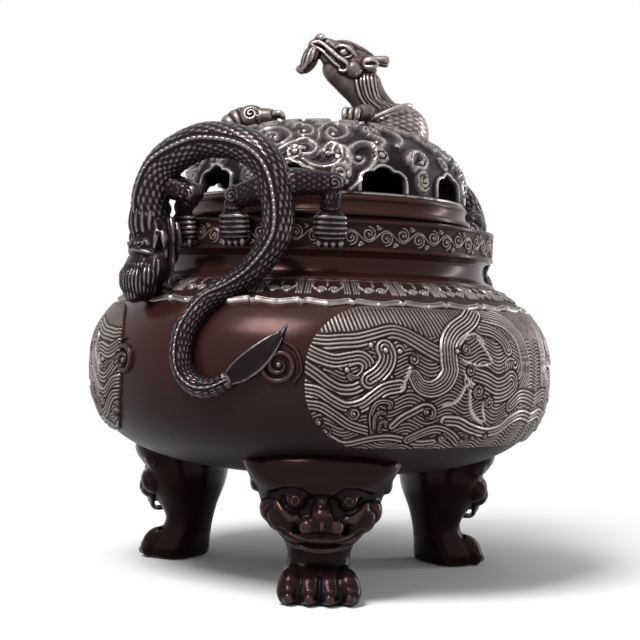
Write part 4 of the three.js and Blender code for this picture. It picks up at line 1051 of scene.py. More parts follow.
def window_cutters():
    """Prisms in the shape of the smoke windows, pointing outwards."""
    bm = bmesh.new()
    for index in range(WINDOW_COUNT):
        azimuth = WINDOW_START_AZIMUTH + 360 / WINDOW_COUNT * index
        turn = Matrix.Rotation(math.radians(azimuth), 4, "Z")
        corners = [bm.verts.new(turn @ Vector((x * MM, -45 * MM, (DOME_BASE_Z + WINDOW_SILL + z) * MM)))
                   for x, z in window_outline()]
        pulled = bmesh.ops.extrude_face_region(bm, geom=[bm.faces.new(corners)])
        moved = [item for item in pulled["geom"] if isinstance(item, bmesh.types.BMVert)]
        bmesh.ops.translate(bm, verts=moved, vec=turn @ Vector((0, -50 * MM, 0)))
    bmesh.ops.recalc_face_normals(bm, faces=bm.faces[:])
    return as_mesh(bm, "window_cutters")


def applied(mesh, kind, **settings):
    """A mesh after a modifier."""
    holder = in_scene("passing", mesh)
    modifier = holder.modifiers.new(kind, kind)
    for key, value in settings.items():
        setattr(modifier, key, value)
    graph = bpy.context.evaluated_depsgraph_get()
    made = bpy.data.meshes.new_from_object(holder.evaluated_get(graph))
    bpy.data.objects.remove(holder)
    bpy.data.meshes.remove(mesh)
    return made


def dome_shell_mesh():
    """The dome as a closed shell with its ten windows cut."""
    crown = DOME_BASE_Z + DOME_HEIGHT
    outside = shell_profile(DOME, DOME_BASE_Z, crown, 140)
    inside = shell_profile(DOME.inside(DOME_WALL), DOME_BASE_Z, crown - DOME_WALL, 24)
    mesh = lathe("dome", [*outside, *reversed(inside)], 0, DOME_STEPS)
    cutter = in_scene("cutter", window_cutters())
    made = applied(mesh, "BOOLEAN", operation="DIFFERENCE", solver="EXACT", object=cutter)
    bpy.data.objects.remove(cutter)
    return made


# Pixels of the photograph along the scrolls on the crown
DOME_SCROLLS = (
    [(266.6, 141.9), (257.6, 140.6), (262, 133), (277.5, 130.2), (290.5, 136.5), (284, 145.5),
     (273, 146.5), (265.5, 140.5), (268, 135.4), (275.5, 135.8), (276, 140), (271, 139.4)],
    [(291.6, 131), (300, 127.5), (309, 128.8), (313.2, 135), (303, 139), (298, 134.5), (304.8, 133.3)],
    [(319, 141), (320, 132), (333.8, 127.4), (346, 131), (347, 137.4), (335.3, 141.6), (326.5, 136.4),
     (330.6, 130.8), (336, 133), (333, 136.6)],
    [(272.8, 155.2), (283.8, 149.9), (296.3, 143.6), (308.8, 142.2), (316.8, 148.1), (312, 154.8),
     (302.5, 155), (297, 150), (304, 149.7)],
    [(302.5, 160.6), (315, 166.6), (330.6, 167.5), (340.6, 160.6), (340, 150), (330.6, 146), (324.6, 150),
     (325, 155.6), (328.4, 155)],
    [(282, 162.4), (289.5, 160.8), (304, 168.4)],
    [(291.6, 171.6), (298, 171.8)],
    [(349.6, 190.4), (360.3, 182), (366, 174), (374.2, 163.8), (376.5, 153), (371, 146), (360.5, 144.4),
     (350, 149.7), (347, 157.5), (352.6, 164.3), (360.3, 165), (364.8, 160.4), (358.8, 159)],
    [(343.1, 163.8), (350, 172.4), (346.5, 182)],
    [(369, 137.4), (379, 140.2), (384.6, 143.6), (381, 148), (376, 145)],
    [(408.8, 165), (408.2, 158), (416.6, 155.4), (425.6, 162), (422.6, 170), (414.6, 169)],
    [(386, 134), (396, 137), (402, 144), (397, 148)],
)
# Hooks beside the windows: azimuths from the pillar between two windows, and lengths from the dome's foot
HOOK_AZIMUTHS = np.array([4.2, 4.6, 2.0, -1.4, -2.6, -0.6])
HOOK_LENGTHS = np.array([12.5, 17.5, 22.0, 22.6, 19.0, 17.0])
# Rings on which small curls fill the gaps: distance from the crown, and number of places
GAP_RINGS = ((20.0, 7), (33.0, 14), (46.0, 20), (27.0, 13), (40.0, 19), (53.0, 24))
WINDOW_AZIMUTHS = [WINDOW_START_AZIMUTH + 360 / WINDOW_COUNT * index for index in range(WINDOW_COUNT)]


def dome_curls():
    """Centre lines of all scrolls: the photographed ones in each quarter, and others between them."""
    crown = [on_dome(line) for line in DOME_SCROLLS]
    curls = []
    for turn in range(0, 360, 90):
        cosine, sine = math.cos(math.radians(turn)), math.sin(math.radians(turn))
        curls += [line @ np.array([[cosine, sine], [-sine, cosine]]) for line in crown]
    for index, middle in enumerate(WINDOW_AZIMUTHS):
        hand = 1 if index % 2 else -1
        pillar = middle + 180 / WINDOW_COUNT
        curls.append(dome_flat(pillar, 8.6) + spiral((0, 0), 5.0, 1.9, start=-60, hand=hand, inner=0.16))
        curls.append(dome_flat(pillar + HOOK_AZIMUTHS * hand, HOOK_LENGTHS))
    for ring, count in GAP_RINGS:
        for index in range(count):
            centre = dome_flat(360 / count * (index + 0.4), DOME_LENGTH - ring)
            room = np.linalg.norm(np.vstack(curls) - centre, axis=1).min() - 1.2
            if room > 3.2:
                hand = 1 if index % 2 else -1
                curls.append(centre + spiral((0, 0), min(room, 5.0), 1.6, start=47 * index, hand=hand,
                                             inner=0.18))
    return curls


def dome_drawing(places):
    """Cloud scrolls over the dome: broad flat clouds with thin edges, and a rim and a boss at each window."""
    drawing = Relief(places, tone=0.04)
    curls = dome_curls()
    for line in curls:
        drawing.ridge(line, CLOUD_HALF_WIDTH, rise=CLOUD_RISE, start=0.6, end=0.8, tone=0.5)
    for line in curls:
        drawing.ridge(line, SCROLL_HALF_WIDTH, rise=SCROLL_RISE, start=0.6, end=0.8)
        drawing.bead(line[-1], 1.3, ground=CLOUD_RISE)
    arch = window_outline(grow=0.6)[2:-2]
    heights = DOME_BASE_Z + WINDOW_SILL + arch[:, 1]
    turn = np.degrees(np.arcsin(arch[:, 0] / DOME.radius_at(heights)))
    boss_length = float(DOME.length_at(DOME_BASE_Z + WINDOW_SILL + WINDOW_HEIGHT)) + 6.0
    for middle in WINDOW_AZIMUTHS:
        drawing.ridge(dome_flat(middle + turn, DOME.length_at(heights)), 1.1, rise=1.3, ground=0.3)
        boss = dome_flat(middle, boss_length)
        drawing.bead(boss, 4.0, rise=0.9, ground=0.1, ring=0.1)
        drawing.ridge(boss + spiral((0, 0), 3.7, 1.0, inner=0.98), 0.6, tone=0.9)
        drawing.bead(boss, 1.7, rise=1.7, ground=0.6)
    return drawing


def pierced_dome_mesh(tallest):
    mesh = dome_shell_mesh()
    points = mesh_points(mesh)
    # The relief stands on the outer face alone
    outer = DOME.level(points) > 0.995
    azimuth = np.degrees(np.arctan2(points[outer, 0], -points[outer, 1]))
    length = DOME.length_at(points[outer, 2])
    drawing = dome_drawing(dome_flat(azimuth, length))
    height = np.clip(drawing.height, 0, tallest) * stepped(length, 0.2, 1.4)
    points[outer] = DOME.point(azimuth, length, height)
    tone = np.full(len(points), 0.15)
    tone[outer] = np.maximum(drawing.tone, 1 - stepped(length, 1.0, 1.6))
    set_points(mesh, points)
    set_relief(mesh, np.clip(tone, 0, 1.2))
    return mesh


# Sculpted castings


def on_side(point, side, axis):
    """A point on one side of the middle plane across an axis."""
    return tuple(side * value if k == axis else value for k, value in enumerate(point))


def ball_mesh(sides, rings):
    """A ball, with the share of its height and the turn at each vertex."""
    bm = bmesh.new()
    bmesh.ops.create_uvsphere(bm, u_segments=sides, v_segments=rings, radius=1)
    mesh = as_mesh(bm, "ball")
    unit = mesh_points(mesh) * MM
    share = 1 - np.arccos(np.clip(unit[:, 2], -1, 1)) / math.pi
    return mesh, share, np.arctan2(unit[:, 1], unit[:, 0])


def framed(line, lengths, places, up):
    """Centre, back and side at places along a line. Up is a direction, or a function of the centre."""
    tangents = np.gradient(line, lengths, axis=0)
    centre = np.stack([np.interp(places, lengths, axis) for axis in line.T], axis=1)
    along = np.stack([np.interp(places, lengths, axis) for axis in tangents.T], axis=1)
    along /= np.maximum(np.linalg.norm(along, axis=1, keepdims=True), 1e-9)
    back = up(centre) if callable(up) else np.broadcast_to(np.asarray(up, float), centre.shape)
    back = back - along * (back * along).sum(axis=1, keepdims=True)
    back /= np.maximum(np.linalg.norm(back, axis=1, keepdims=True), 1e-9)
    return centre, back, np.cross(along, back)


SMALLEST_END = 0.3


def along_tube(points, radii, share, up):
    """Length, radius, nearness to an end, and the frame at shares of a smooth curve."""
    line = smooth_line(points)
    lengths = np.concatenate([[0], np.cumsum(np.linalg.norm(np.diff(line, axis=0), axis=1))])
    total = lengths[-1]
    length = share * total
    radius = np.interp(share, np.linspace(0, 1, len(radii)), radii)
    tip = np.minimum(length / max(radii[0], SMALLEST_END), (1 - share) * total / max(radii[-1], SMALLEST_END))
    return length, radius, tip.clip(0, 1), framed(line, lengths, length, up)


def round_skin(placing, radius, turn, flat=1):
    """Places round a tube at its radius and turn."""
    centre, back, side = placing
    return centre + back * (radius * np.cos(turn))[:, None] + side * (flat * radius * np.sin(turn))[:, None]


class Clay:
    """Balls and limbs, in millimetres, that are pressed together into one casting."""

    def __init__(self, mirror=0):
        self.lumps = bmesh.new()
        self.mirror = mirror

    def ball(self, centre, radii, turn=(0, 0, 0), fine=3):
        turned = Matrix()
        for angle, axis in zip(turn, "XYZ"):
            turned = Matrix.Rotation(math.radians(angle), 4, axis) @ turned
        size = Matrix.Diagonal((*(np.broadcast_to(radii, 3) * MM), 1))
        bmesh.ops.create_icosphere(self.lumps, subdivisions=fine, radius=1,
                                   matrix=Matrix.Translation(Vector(centre) * MM) @ turned @ size)

    def balls(self, centre, radii, turn=(0, 0, 0), fine=3):
        """A ball on each side."""
        for side in (-1, 1):
            turned = [angle if axis == self.mirror else side * angle for axis, angle in enumerate(turn)]
            self.ball(on_side(centre, side, self.mirror), radii, turned, fine)

    def press(self, mesh):
        """Adds a mesh to the lumps."""
        self.lumps.from_mesh(mesh)
        bpy.data.meshes.remove(mesh)

    def limb(self, points, radii, up=UP, flat=1, sides=20, rings=60, relief=None):
        """A tapered, rounded limb along a smooth curve, whose relief grows its radius."""
        mesh, share, turn = ball_mesh(sides, rings)
        length, radius, tip, placing = along_tube(points, radii, share, up)
        radius = radius * np.sqrt(1 - (1 - tip) ** 2)
        if relief:
            radius = radius + relief(length, turn) * stepped(tip, 0.2, 0.8)
        set_points(mesh, round_skin(placing, radius, turn, flat))
        self.press(mesh)

    def limbs(self, points, radii, **settings):
        """A limb on each side."""
        for side in (-1, 1):
            self.limb([on_side(point, side, self.mirror) for point in points], radii, **settings)

    def fused(self, name, voxel, rounds):
        """Presses the lumps into one skin and evens it out."""
        bmesh.ops.recalc_face_normals(self.lumps, faces=self.lumps.faces[:])
        made = applied(as_mesh(self.lumps, name), "REMESH", mode="VOXEL", voxel_size=voxel * MM)
        made.name = name
        relax(made, rounds)
        return made


def from_axis(centre):
    """Directions away from the vessel's axis."""
    return centre * (1, 1, 0)


class Graver:
    """Cuts grooves and raises ridges on a casting's skin."""

    def __init__(self, mesh, mirror=0):
        self.mesh = mesh
        self.mirror = mirror
        self.points = mesh_points(mesh)
        self.normals = vertex_vectors(mesh, "normal")
        self.change = np.zeros(len(self.points))

    def cut(self, line, width, height, taper):
        """A ridge, or with a height below zero a groove, along places near the skin."""
        low, high = line.min(axis=0) - 2.5 * width, line.max(axis=0) + 2.5 * width
        index = np.flatnonzero(((self.points > low) & (self.points < high)).all(axis=1))
        places = self.points[index]
        nearest = nearest_on(line, places)
        gap = np.sqrt(((places - line[nearest]) ** 2).sum(axis=1))
        fade = 1 - taper * np.abs(2 * nearest / max(len(line) - 1, 1) - 1) ** 3
        amount = height * np.clip(1 - (gap / width) ** 2, 0, 1) ** 1.5 * fade
        least_or_most = np.maximum if height > 0 else np.minimum
        self.change[index] = least_or_most(self.change[index], amount)

    def stroke(self, line, width, height):
        """A tapered ridge or groove along a smooth curve near the skin."""
        self.cut(smooth_line(line, 0.35), width, height, 0.6)

    def comb(self, line, normal, width, height):
        """A stroke that is first laid on the skin along a direction."""
        normal = np.asarray(normal, float)
        line = self.on_skin(smooth_line(line, 0.7), normal / np.linalg.norm(normal))
        self.stroke(line, width, height)

    def strokes(self, line, width, height, onto=None):
        """The same stroke on both sides, laid on the skin along a direction if one is given."""
        for side in (-1, 1):
            way = [on_side(point, side, self.mirror) for point in line]
            if onto is None:
                self.stroke(way, width, height)
            else:
                self.comb(way, on_side(onto, side, self.mirror), width, height)

    def curl(self, centre, radius, turns, normal, width, height, start=0, hand=1, inner=0.12):
        """A spiral stroke on a skin that faces a direction."""
        normal = Vector(normal).normalized()
        across = Vector(UP).cross(normal).normalized()
        upward = normal.cross(across)
        flat = spiral((0, 0), radius, turns, start=start, hand=hand, inner=inner)
        line = [tuple(Vector(centre) + across * float(a) + upward * float(b)) for a, b in flat]
        self.cut(self.on_skin(np.array(line), np.array(tuple(normal))), width, height, 0)

    def on_skin(self, line, normal):
        """Moves points along a direction on to the nearest part of the skin that faces it."""
        skin = self.points[self.normals @ normal > 0.1]
        middle = line.mean(axis=0)
        room = np.linalg.norm(line - middle, axis=1).max() + 9
        skin = skin[np.linalg.norm(skin - middle, axis=1) < room]
        out = line.copy()
        for i, point in enumerate(line):
            gap = skin - point
            depth = gap @ normal
            close = np.linalg.norm(gap - depth[:, None] * normal, axis=1) < 0.9
            if close.any():
                out[i] = point + normal * depth[close].max()
        return out

    def done(self, spread=3, reach_mm=0.09):
        """Applies the strokes, and keeps which parts stand out for the material."""
        set_points(self.mesh, self.points + self.normals * self.change[:, None])
        return edge_wear_and_hollow_shade(self.mesh, spread, reach_mm)


def seat_on(mesh, shell, depth):
    """Brings the parts that are sunk in a shell up to a small depth below its skin."""
    points = mesh_points(mesh)
    level = shell.level(points)
    least = 1 - depth / shell.radius
    scale = np.where(level < least, least / np.maximum(level, 1e-6), 1)
    middle = np.array([0, 0, shell.middle_z])
    set_points(mesh, middle + (points - middle) * scale[:, None])


def scale_relief(length, turn, pitch, count, rise, lean=0):
    """Overlapping scales in staggered rows, at lengths and turns of a limb."""
    row = length / pitch
    best = np.zeros_like(length)
    cell = turn * count / (2 * math.pi)
    covered = np.zeros(length.shape, bool)
    for back in (1, 0):
        index = np.floor(row) - back
        into = (row - index) / 1.75
        offset = (cell + 0.5 * (index % 2) + lean * row) % 1 - 0.5
        wide = 0.56 * np.sqrt(np.clip(1 - into ** 2.2, 0, 1))
        inside = (into < 1) & (np.abs(offset) < wide) & ~covered
        crown = 1 - (offset / np.maximum(wide, 1e-6)) ** 2
        best = np.where(inside, rise * (0.25 + 0.75 * into) * (0.55 + 0.45 * crown), best)
        covered |= inside
    return best


# Tripod legs, made facing -Y and then turned

LEG_CENTRES = {"leg_front_left": -60, "leg_front_right": 60, "leg_rear": 180}


# Height, half width, front radius and back radius of the leg, from its sole to above the bowl's skin
LEG_SECTIONS = np.array([
    (0, 16.6, 94, 71), (2.5, 18, 95.5, 70), (6.5, 18.2, 95.5, 69.5), (10, 17.2, 93.5, 69),
    (14, 15.4, 90.5, 67.5), (18, 14.3, 87.5, 66.5), (22, 14.5, 86.5, 65.5), (26, 15.8, 88.5, 64.5),
    (30, 18, 91.5, 63.5), (34, 21.5, 93.5, 62.5), (39, 25.2, 94.5, 61.5), (44, 27.4, 93.5, 61),
    (48, 28.5, 95, 60.5), (51.5, 29.8, 98.5, 60.5), (55, 32, 101.2, 60.5), (59, 34.6, 101.6, 60.5),
    (62.5, 36.4, 99.8, 60.5), (66, 37.2, 96.4, 60.5), (69.5, 36.8, 91.6, 60.5), (73, 35, 86, 60.5),
])
# How square the leg is at five heights: 1 is an ellipse
LEG_SQUARENESS = ((0, 12, 30, 48, 73), (0.62, 0.72, 0.86, 0.95, 1))
CLOSING_SHARE = 0.06
TOE_PITCH = 9.2


def leg_core():
    """The leg as one lofted form."""
    mesh, share, turn = ball_mesh(72, 120)
    inner = ((share - CLOSING_SHARE) / (1 - 2 * CLOSING_SHARE)).clip(0, 1)
    closing = np.minimum(np.minimum(share, 1 - share) / CLOSING_SHARE, 1)
    z = inner * LEG_SECTIONS[-1, 0]
    half, front, back = (np.interp(z, LEG_SECTIONS[:, 0], LEG_SECTIONS[:, k]) for k in (1, 2, 3))
    power = np.interp(z, *LEG_SQUARENESS)
    x = np.sign(np.cos(turn)) * np.abs(np.cos(turn)) ** power * half * closing
    out = np.sign(np.sin(turn)) * np.abs(np.sin(turn)) ** power
    y = -((front + back) / 2 - out * (front - back) / 2 * closing)
    set_points(mesh, np.stack([x, y, z], axis=1))
    relax(mesh, 3)
    return mesh


def across_middle(half):
    """A curve across the YZ plane, from its half on the right."""
    return [(-x, y, z) for x, y, z in half[:0:-1]] + half


def leg_face(clay):
    """The beast mask: forehead and brows, eyes, cheeks, folds, nose with its nostrils, lips and ears."""
    clay.ball((0, -88, 54.6), (17, 12.8, 8.6), fine=4)
    clay.ball((0, -86.3, 62.2), (30, 15.2, 10), fine=4)
    clay.balls((17, -85.5, 57.6), (11, 11.4, 7), fine=4)
    clay.balls((11.9, -92.8, 47.4), (4.5, 4.6, 4.5))
    clay.balls((15.8, -89.2, 38.8), (9, 6.8, 7.2), fine=4)
    clay.balls((21, -85.5, 42.5), (7, 6.8, 7.4))
    fold = [(20.6, -91, 47.2), (17.8, -94, 42.4), (13.6, -95.8, 39.2), (9.6, -96.2, 40)]
    clay.limbs(fold, (1.4, 2, 2.3, 1.6), up=AHEAD)
    nose = [(0, -94.4, 49), (0, -96.2, 43), (0, -98.2, 38), (0, -98, 35.8)]
    clay.limb(nose, (3.8, 4.2, 5.2, 5), up=AHEAD)
    bridge = [(0, -98.4, 44), (0, -100.6, 40.4), (0, -102.6, 36.6), (0, -101.8, 34.4)]
    clay.limb(bridge, (0.8, 1, 1.3, 1), up=AHEAD)
    clay.ball((0, -96.6, 36.4), (9, 4.6, 3.8), fine=4)
    clay.balls((6.2, -97.2, 36.2), (4.2, 4.6, 4))
    upper_lip = across_middle([(0, -97.2, 30), (6, -96.4, 30.4), (13, -93.4, 31), (20, -88, 34.8)])
    clay.limb(upper_lip, (0.9, 1.8, 2.1, 2.1, 2.1, 1.8, 0.9), up=AHEAD)
    lower_lip = across_middle([(0, -94.4, 25), (6.5, -94, 25.6), (13.4, -91.2, 28.2), (19, -87.2, 33),
                               (23, -83, 38)])
    clay.limb(lower_lip, (0.8, 1.3, 1.5, 1.6, 1.6, 1.6, 1.5, 1.3, 0.8), up=AHEAD)
    clay.balls((30, -81, 54), (2.6, 4, 5), turn=(20, 0, 0))


def leg_paw(clay):
    """Four toes, each with a round claw and the lid over it."""
    for place in (-1.5, -0.5, 0.5, 1.5):
        x = place * TOE_PITCH
        tip = -94.6 + 0.011 * x * x
        claw = tip - 3.9
        toe = [(x * 0.84, -83, 15), (x * 0.92, -89, 11.4), (x, tip + 1.4, 7.2), (x, tip + 1, 2.6),
               (x, tip + 1.6, 0)]
        clay.limb(toe, (2.6, 4.2, 5, 4.9, 4.6), flat=1.1)
        clay.ball((x, claw, 3.7), (2.5, 2.3, 2.6))
        lid = [(x + 3.5 * math.cos(a), claw + 1.3 * abs(math.cos(a)), 4.2 + 3.4 * math.sin(a))
               for a in np.linspace(0.2, math.pi - 0.2, 9)]
        clay.limb(lid, (0.5, 0.9, 1, 0.9, 0.5), up=AHEAD, sides=12, rings=40)


def leg_marks(mesh):
    """Rings of the eyes, lids, mouth line, creases of the cheeks, and grooves between the toes."""
    graver = Graver(mesh)
    for side in (-1, 1):
        eye = (side * 11.9, -97, 47.2)
        graver.curl(eye, 2.9, 1, AHEAD, 0.9, -0.8, inner=1)
        graver.curl(eye, 1.1, 1, AHEAD, 0.7, -0.6, inner=1)
    brow = [(0, -99.5, 45.6), (3.4, -99, 46.8), (7, -98.4, 49.8), (11.4, -97.8, 51.8), (16.5, -96, 51.4),
            (22, -92.5, 49.4), (27, -87.5, 47.6)]
    graver.strokes(brow, 2.2, -0.9, onto=AHEAD)
    mouth = [(0, -97, 27.8), (6, -96.5, 28), (12.6, -93.5, 29.6), (18.6, -88.5, 33.8)]
    graver.strokes(mouth, 1.6, -1.4, onto=AHEAD)
    crease = [(21, -90.5, 44.6), (23.6, -87, 40), (20.6, -88.5, 34.8)]
    graver.strokes(crease, 1.1, -0.6, onto=(0.4, -1, 0))
    for x in (-TOE_PITCH, 0, TOE_PITCH):
        graver.comb([(x * 0.88, -90, 14.5), (x * 0.95, -92, 10), (x, -94, 6), (x, -94, 1.5)], AHEAD, 1.2, -1)
    return graver.done(spread=4, reach_mm=0.16)


def leg_mesh():
    clay = Clay()
    clay.press(leg_core())
    leg_face(clay)
    leg_paw(clay)
    mesh = clay.fused("leg", LEG_VOXEL, 9)
    seat_on(mesh, BOWL, 1.6)
    mesh = leg_marks(mesh)
    points = mesh_points(mesh)
    points[:, 2] = np.maximum(points[:, 2], 0)
    set_points(mesh, points)
    return mesh


# Dragon handles, made at -X and then turned

HANDLE_RADIUS = 95
HEAD_AZIMUTH = -113.7
LAPPET_TOP_Z = NECK_BASE_Z - 2 * FIT


def on_bowl(azimuth, z, lift):
    return tuple(BOWL.point(azimuth, BOWL.length_at(z), lift))


def handle_way():
    """The dragon's body, from behind its head over the arch and down the bowl to the tuft."""
    x, y, _ = around(HANDLE_RADIUS + 7, HEAD_AZIMUTH, 0)
    tip = LAPPET_TOP_Z - 10.6
    free = [(x - 1, y + 1, 160), (x, y, 168), (-96.5, y - 1, 184), (-95, y - 8, 199), (-95, 16, 207.6),
            (-95, 2, 208.2), (-95, -12, 204.5), (-95, -22, 196), (-95, -27, 182), (-95, -27, 165),
            (-96.5, -18, LAPPET_TOP_Z + 6.5)]
    lying = [(-86, tip + 5, 4), (-90.5, tip - 2, 4), (-92.8, tip - 13, 4), (-93, 110.5, 4),
             (-91.8, 102.5, 4), (-88.6, 97.5, 3.9), (-84.6, 97.5, 3.6), (-80.6, 101.5, 3)]
    return free + [on_bowl(*place) for place in lying]


def swept_mesh(name, line, radii, cells, up, relief):
    """A tube with closed ends along a smooth curve, which grows by its relief."""
    mesh, across, share = grid(name, *cells, closed=True)
    turn = across * 2 * math.pi
    length, radius, tip, placing = along_tube(line, radii, share, up)
    radius = (radius + relief(length, turn) * stepped(tip, 0.1, 0.9)) * np.sqrt(1 - (1 - tip) ** 2)
    set_points(mesh, round_skin(placing, radius, turn))
    bm = bmesh.new()
    bm.from_mesh(mesh)
    bmesh.ops.remove_doubles(bm, verts=bm.verts[:], dist=2e-6)
    bmesh.ops.recalc_face_normals(bm, faces=bm.faces[:])
    bm.to_mesh(mesh)
    bm.free()
    return mesh


def dragon_skin(length, turn):
    """Scales on the flanks, a beaded ridge along the back and plates along the belly."""
    facing = (turn + math.pi) % (2 * math.pi) - math.pi
    away = np.abs(facing)
    scales = scale_relief(length, turn, 3.1, 18, 0.65, 0.22)
    plates = 0.55 * np.abs(np.sin(math.pi * length / 3.6)) ** 0.6
    belly = stepped(away, 2.35, 2.5)
    ridge = 1.5 * np.exp(-(away / 0.13) ** 2) * (0.8 + 0.2 * np.sin(2 * math.pi * length / 3))
    return (scales * (1 - belly) + plates * belly) * stepped(away, 0.2, 0.3) + ridge


def handle_body_mesh():
    radii = (8.6, 8.6, 8.4, 8.2, 8, 7.9, 7.8, 7.7, 7.4, 7.1, 6.7, 6, 5.4, 5, 4.8, 4.7, 4.5, 4.2, 3.2)
    return edge_wear_and_hollow_shade(swept_mesh("handle_body", handle_way(), radii, HANDLE_CELLS, from_axis, dragon_skin))


def tail_tuft_mesh():
    """The leaf-shaped flame at the end of the tail, ribbed lengthwise."""
    clay = Clay()
    way = np.array([on_bowl(*place) for place in (
        (-82, 99.8, 3.2), (-79, 104, 3.6), (-75.6, 109.5, 3.4), (-72.6, 115.5, 2.8), (-70.4, 121, 2),
        (-69.4, 125.5, 1.2))])
    tangent = way[-1] - way[0]
    outward = from_axis(way.mean(axis=0))
    aside = np.cross(tangent / np.linalg.norm(tangent), outward / np.linalg.norm(outward))
    widths = np.array([1.6, 4, 4.6, 3.4, 1.5, 0.2])
    for place in np.linspace(-1, 1, 7):
        rib = smooth_line(way + aside * (widths * place)[:, None], 1)
        rib = rib[:int(len(rib) * (1 - 0.16 * abs(place)))]
        clay.limb(rib[::3], (0.8, 1.15, 1.05, 0.8, 0.4), up=from_axis, sides=12, rings=50)
    clay.limb(way - from_axis(way) * 0.009, (1.6, 2, 2, 1.4, 0.8, 0.4), up=from_axis, flat=1.6)
    mesh = clay.fused("tail_tuft", FINE_VOXEL, 1)
    seat_on(mesh, BOWL, 1)
    return edge_wear_and_hollow_shade(mesh)


def head_locks(clay):
    """Fluted beard, the mane on both sides, the fringe over the brow, the horns and the ears."""
    for place in np.linspace(-1, 1, 11):
        x = 8.6 * place
        out = 3 * place * place
        flute = [(x * 0.8, -110.6 + out, 155.8), (x, -112.4 + out, 151.6), (x * 0.95, -113.4 + out, 148.2),
                 (x * 0.85, -114 + out, 145.4)]
        clay.limb(flute, (0.8, 1.05, 0.95, 0.5), up=AHEAD, sides=12, rings=40)
    for x, y, top, drop in ((10.6, -105.5, 174, 158), (12.4, -102, 172, 147), (13, -98.6, 174, 142),
                            (12.6, -95, 172, 152)):
        lock = [(x - 3.4, y + 0.5, top), (x - 0.6, y, top - 7), (x + 0.5, y - 0.4, drop + 8),
                (x - 0.4, y - 1.4, drop)]
        clay.limbs(lock, (1.2, 1.7, 1.6, 0.6), up=AHEAD, sides=14)
    for place in np.linspace(-1, 1, 7):
        x = 8 * place
        back = 4.2 * place * place
        lock = [(x * 0.95, back - 110.8, 164), (x, back - 112.4, 170), (x * 0.92, back - 111.8, 177),
                (x * 0.8, back - 109.8, 184)]
        clay.limb(lock, (0.9, 1.3, 1.2, 0.6), up=AHEAD, sides=12, rings=40)
    horn = [(4.6, -107.6, 172.5), (5.8, -107.2, 179), (6, -105.6, 186), (7, -103, 192.5)]
    clay.limbs(horn, (2.1, 2, 1.7, 0.8), up=AHEAD)
    ear = [(12.8, -104, 167.5), (14.2, -103.6, 163), (13.4, -103, 158.8)]
    clay.limbs(ear, (1.2, 2.2, 0.8), up=AHEAD, flat=0.6)


def handle_head_mesh():
    """The hanging head: skull, nose with two curls, jaws, cheeks, lip, eyes and locks."""
    clay = Clay()
    clay.ball((0, -101.5, 166.5), (11.5, 9.4, 12), fine=4)
    clay.ball((0, -102.5, 155), (11, 8.6, 10.5), fine=4)
    clay.ball((0, -107.4, 160.8), (8.6, 4.8, 3.9), turn=(-18, 0, 0), fine=4)
    clay.ball((0, -106.5, 143.5), (11, 9.6, 9.4), fine=4)
    clay.balls((9.2, -103, 150.5), (5.4, 6.8, 7.6), fine=4)
    clay.ball((0, -110.5, 137.4), (5.6, 4.6, 4))
    clay.balls((8.8, -108.4, 146), (4.4, 4, 5.4))
    lip = across_middle([(0, -111.6, 158), (4.5, -110.8, 157.6), (8.6, -107.6, 156.4), (11.4, -103, 154.6)])
    clay.limb(lip, (0.6, 0.9, 1.1, 1.1, 1.1, 0.9, 0.6), up=AHEAD)
    clay.balls((9.4, -104.5, 165.8), (3, 3, 3))
    head_locks(clay)
    mesh = clay.fused("handle_head", HANDLE_HEAD_VOXEL, 2)
    seat_on(mesh, BOWL, 1)
    graver = Graver(mesh)
    for angle in np.radians(np.linspace(-80, 80, 19)):
        out = np.array((math.sin(angle), -math.cos(angle), 0))
        line = [(0, -104, z) + out * wide for z, wide in ((153, 10.5), (147, 12), (140, 10.5), (135, 6.5))]
        graver.comb(line, out, 0.85, 0.9)
    for side in (-1, 1):
        graver.curl((side * 4.6, -111.6, 161.4), 3, 1.5, (0, -1, 0.3), 0.85, 1.3, start=90, hand=side)
        graver.curl((side * 11.4, -105.5, 165.8), 1.6, 1, (side * 0.8, -0.6, 0), 0.5, -0.5)
    graver.strokes([(0, -112.6, 156), (5, -111.6, 155.6), (10, -106.8, 154)], 0.9, -1.1)
    graver.strokes([(0, -111.5, 165), (4.5, -111, 165.6), (8.6, -108.5, 163.6)], 0.8, -0.8)
    return about_axis(graver.done(reach_mm=0.12), HEAD_AZIMUTH)


CLAW_STEP = 2.1
# Hip, knee, and azimuth of the paw
HANDLE_LEGS = {
    "foreleg_near": ((-95, 38, 189), (-90.5, 20, 184.5), -109),
    "foreleg_far": ((-95, 40, 187), (-81, 49, 184), -122),
    "hindleg_near": ((-95, -25, 186), (-90.5, -3, 183), -89),
    "hindleg_far": ((-95, -28, 188), (-79, -47, 189), -60),
}


def leg_skin(pitch):
    """Small scales on a leg, with a fine beaded ridge down each side."""

    def relief(length, turn):
        seam = np.exp(-((np.abs(turn) - 1.75) / 0.14) ** 2)
        beads = 0.75 + 0.25 * np.sin(2 * math.pi * length / pitch)
        return scale_relief(length, turn, pitch, 14, 0.55) * (1 - seam) + 0.95 * seam * beads

    return relief


def ribs(rise, pitch, power):
    """Rounded ribs round a limb."""
    return lambda length, turn: rise * np.abs(np.sin(math.pi * length / pitch)) ** power


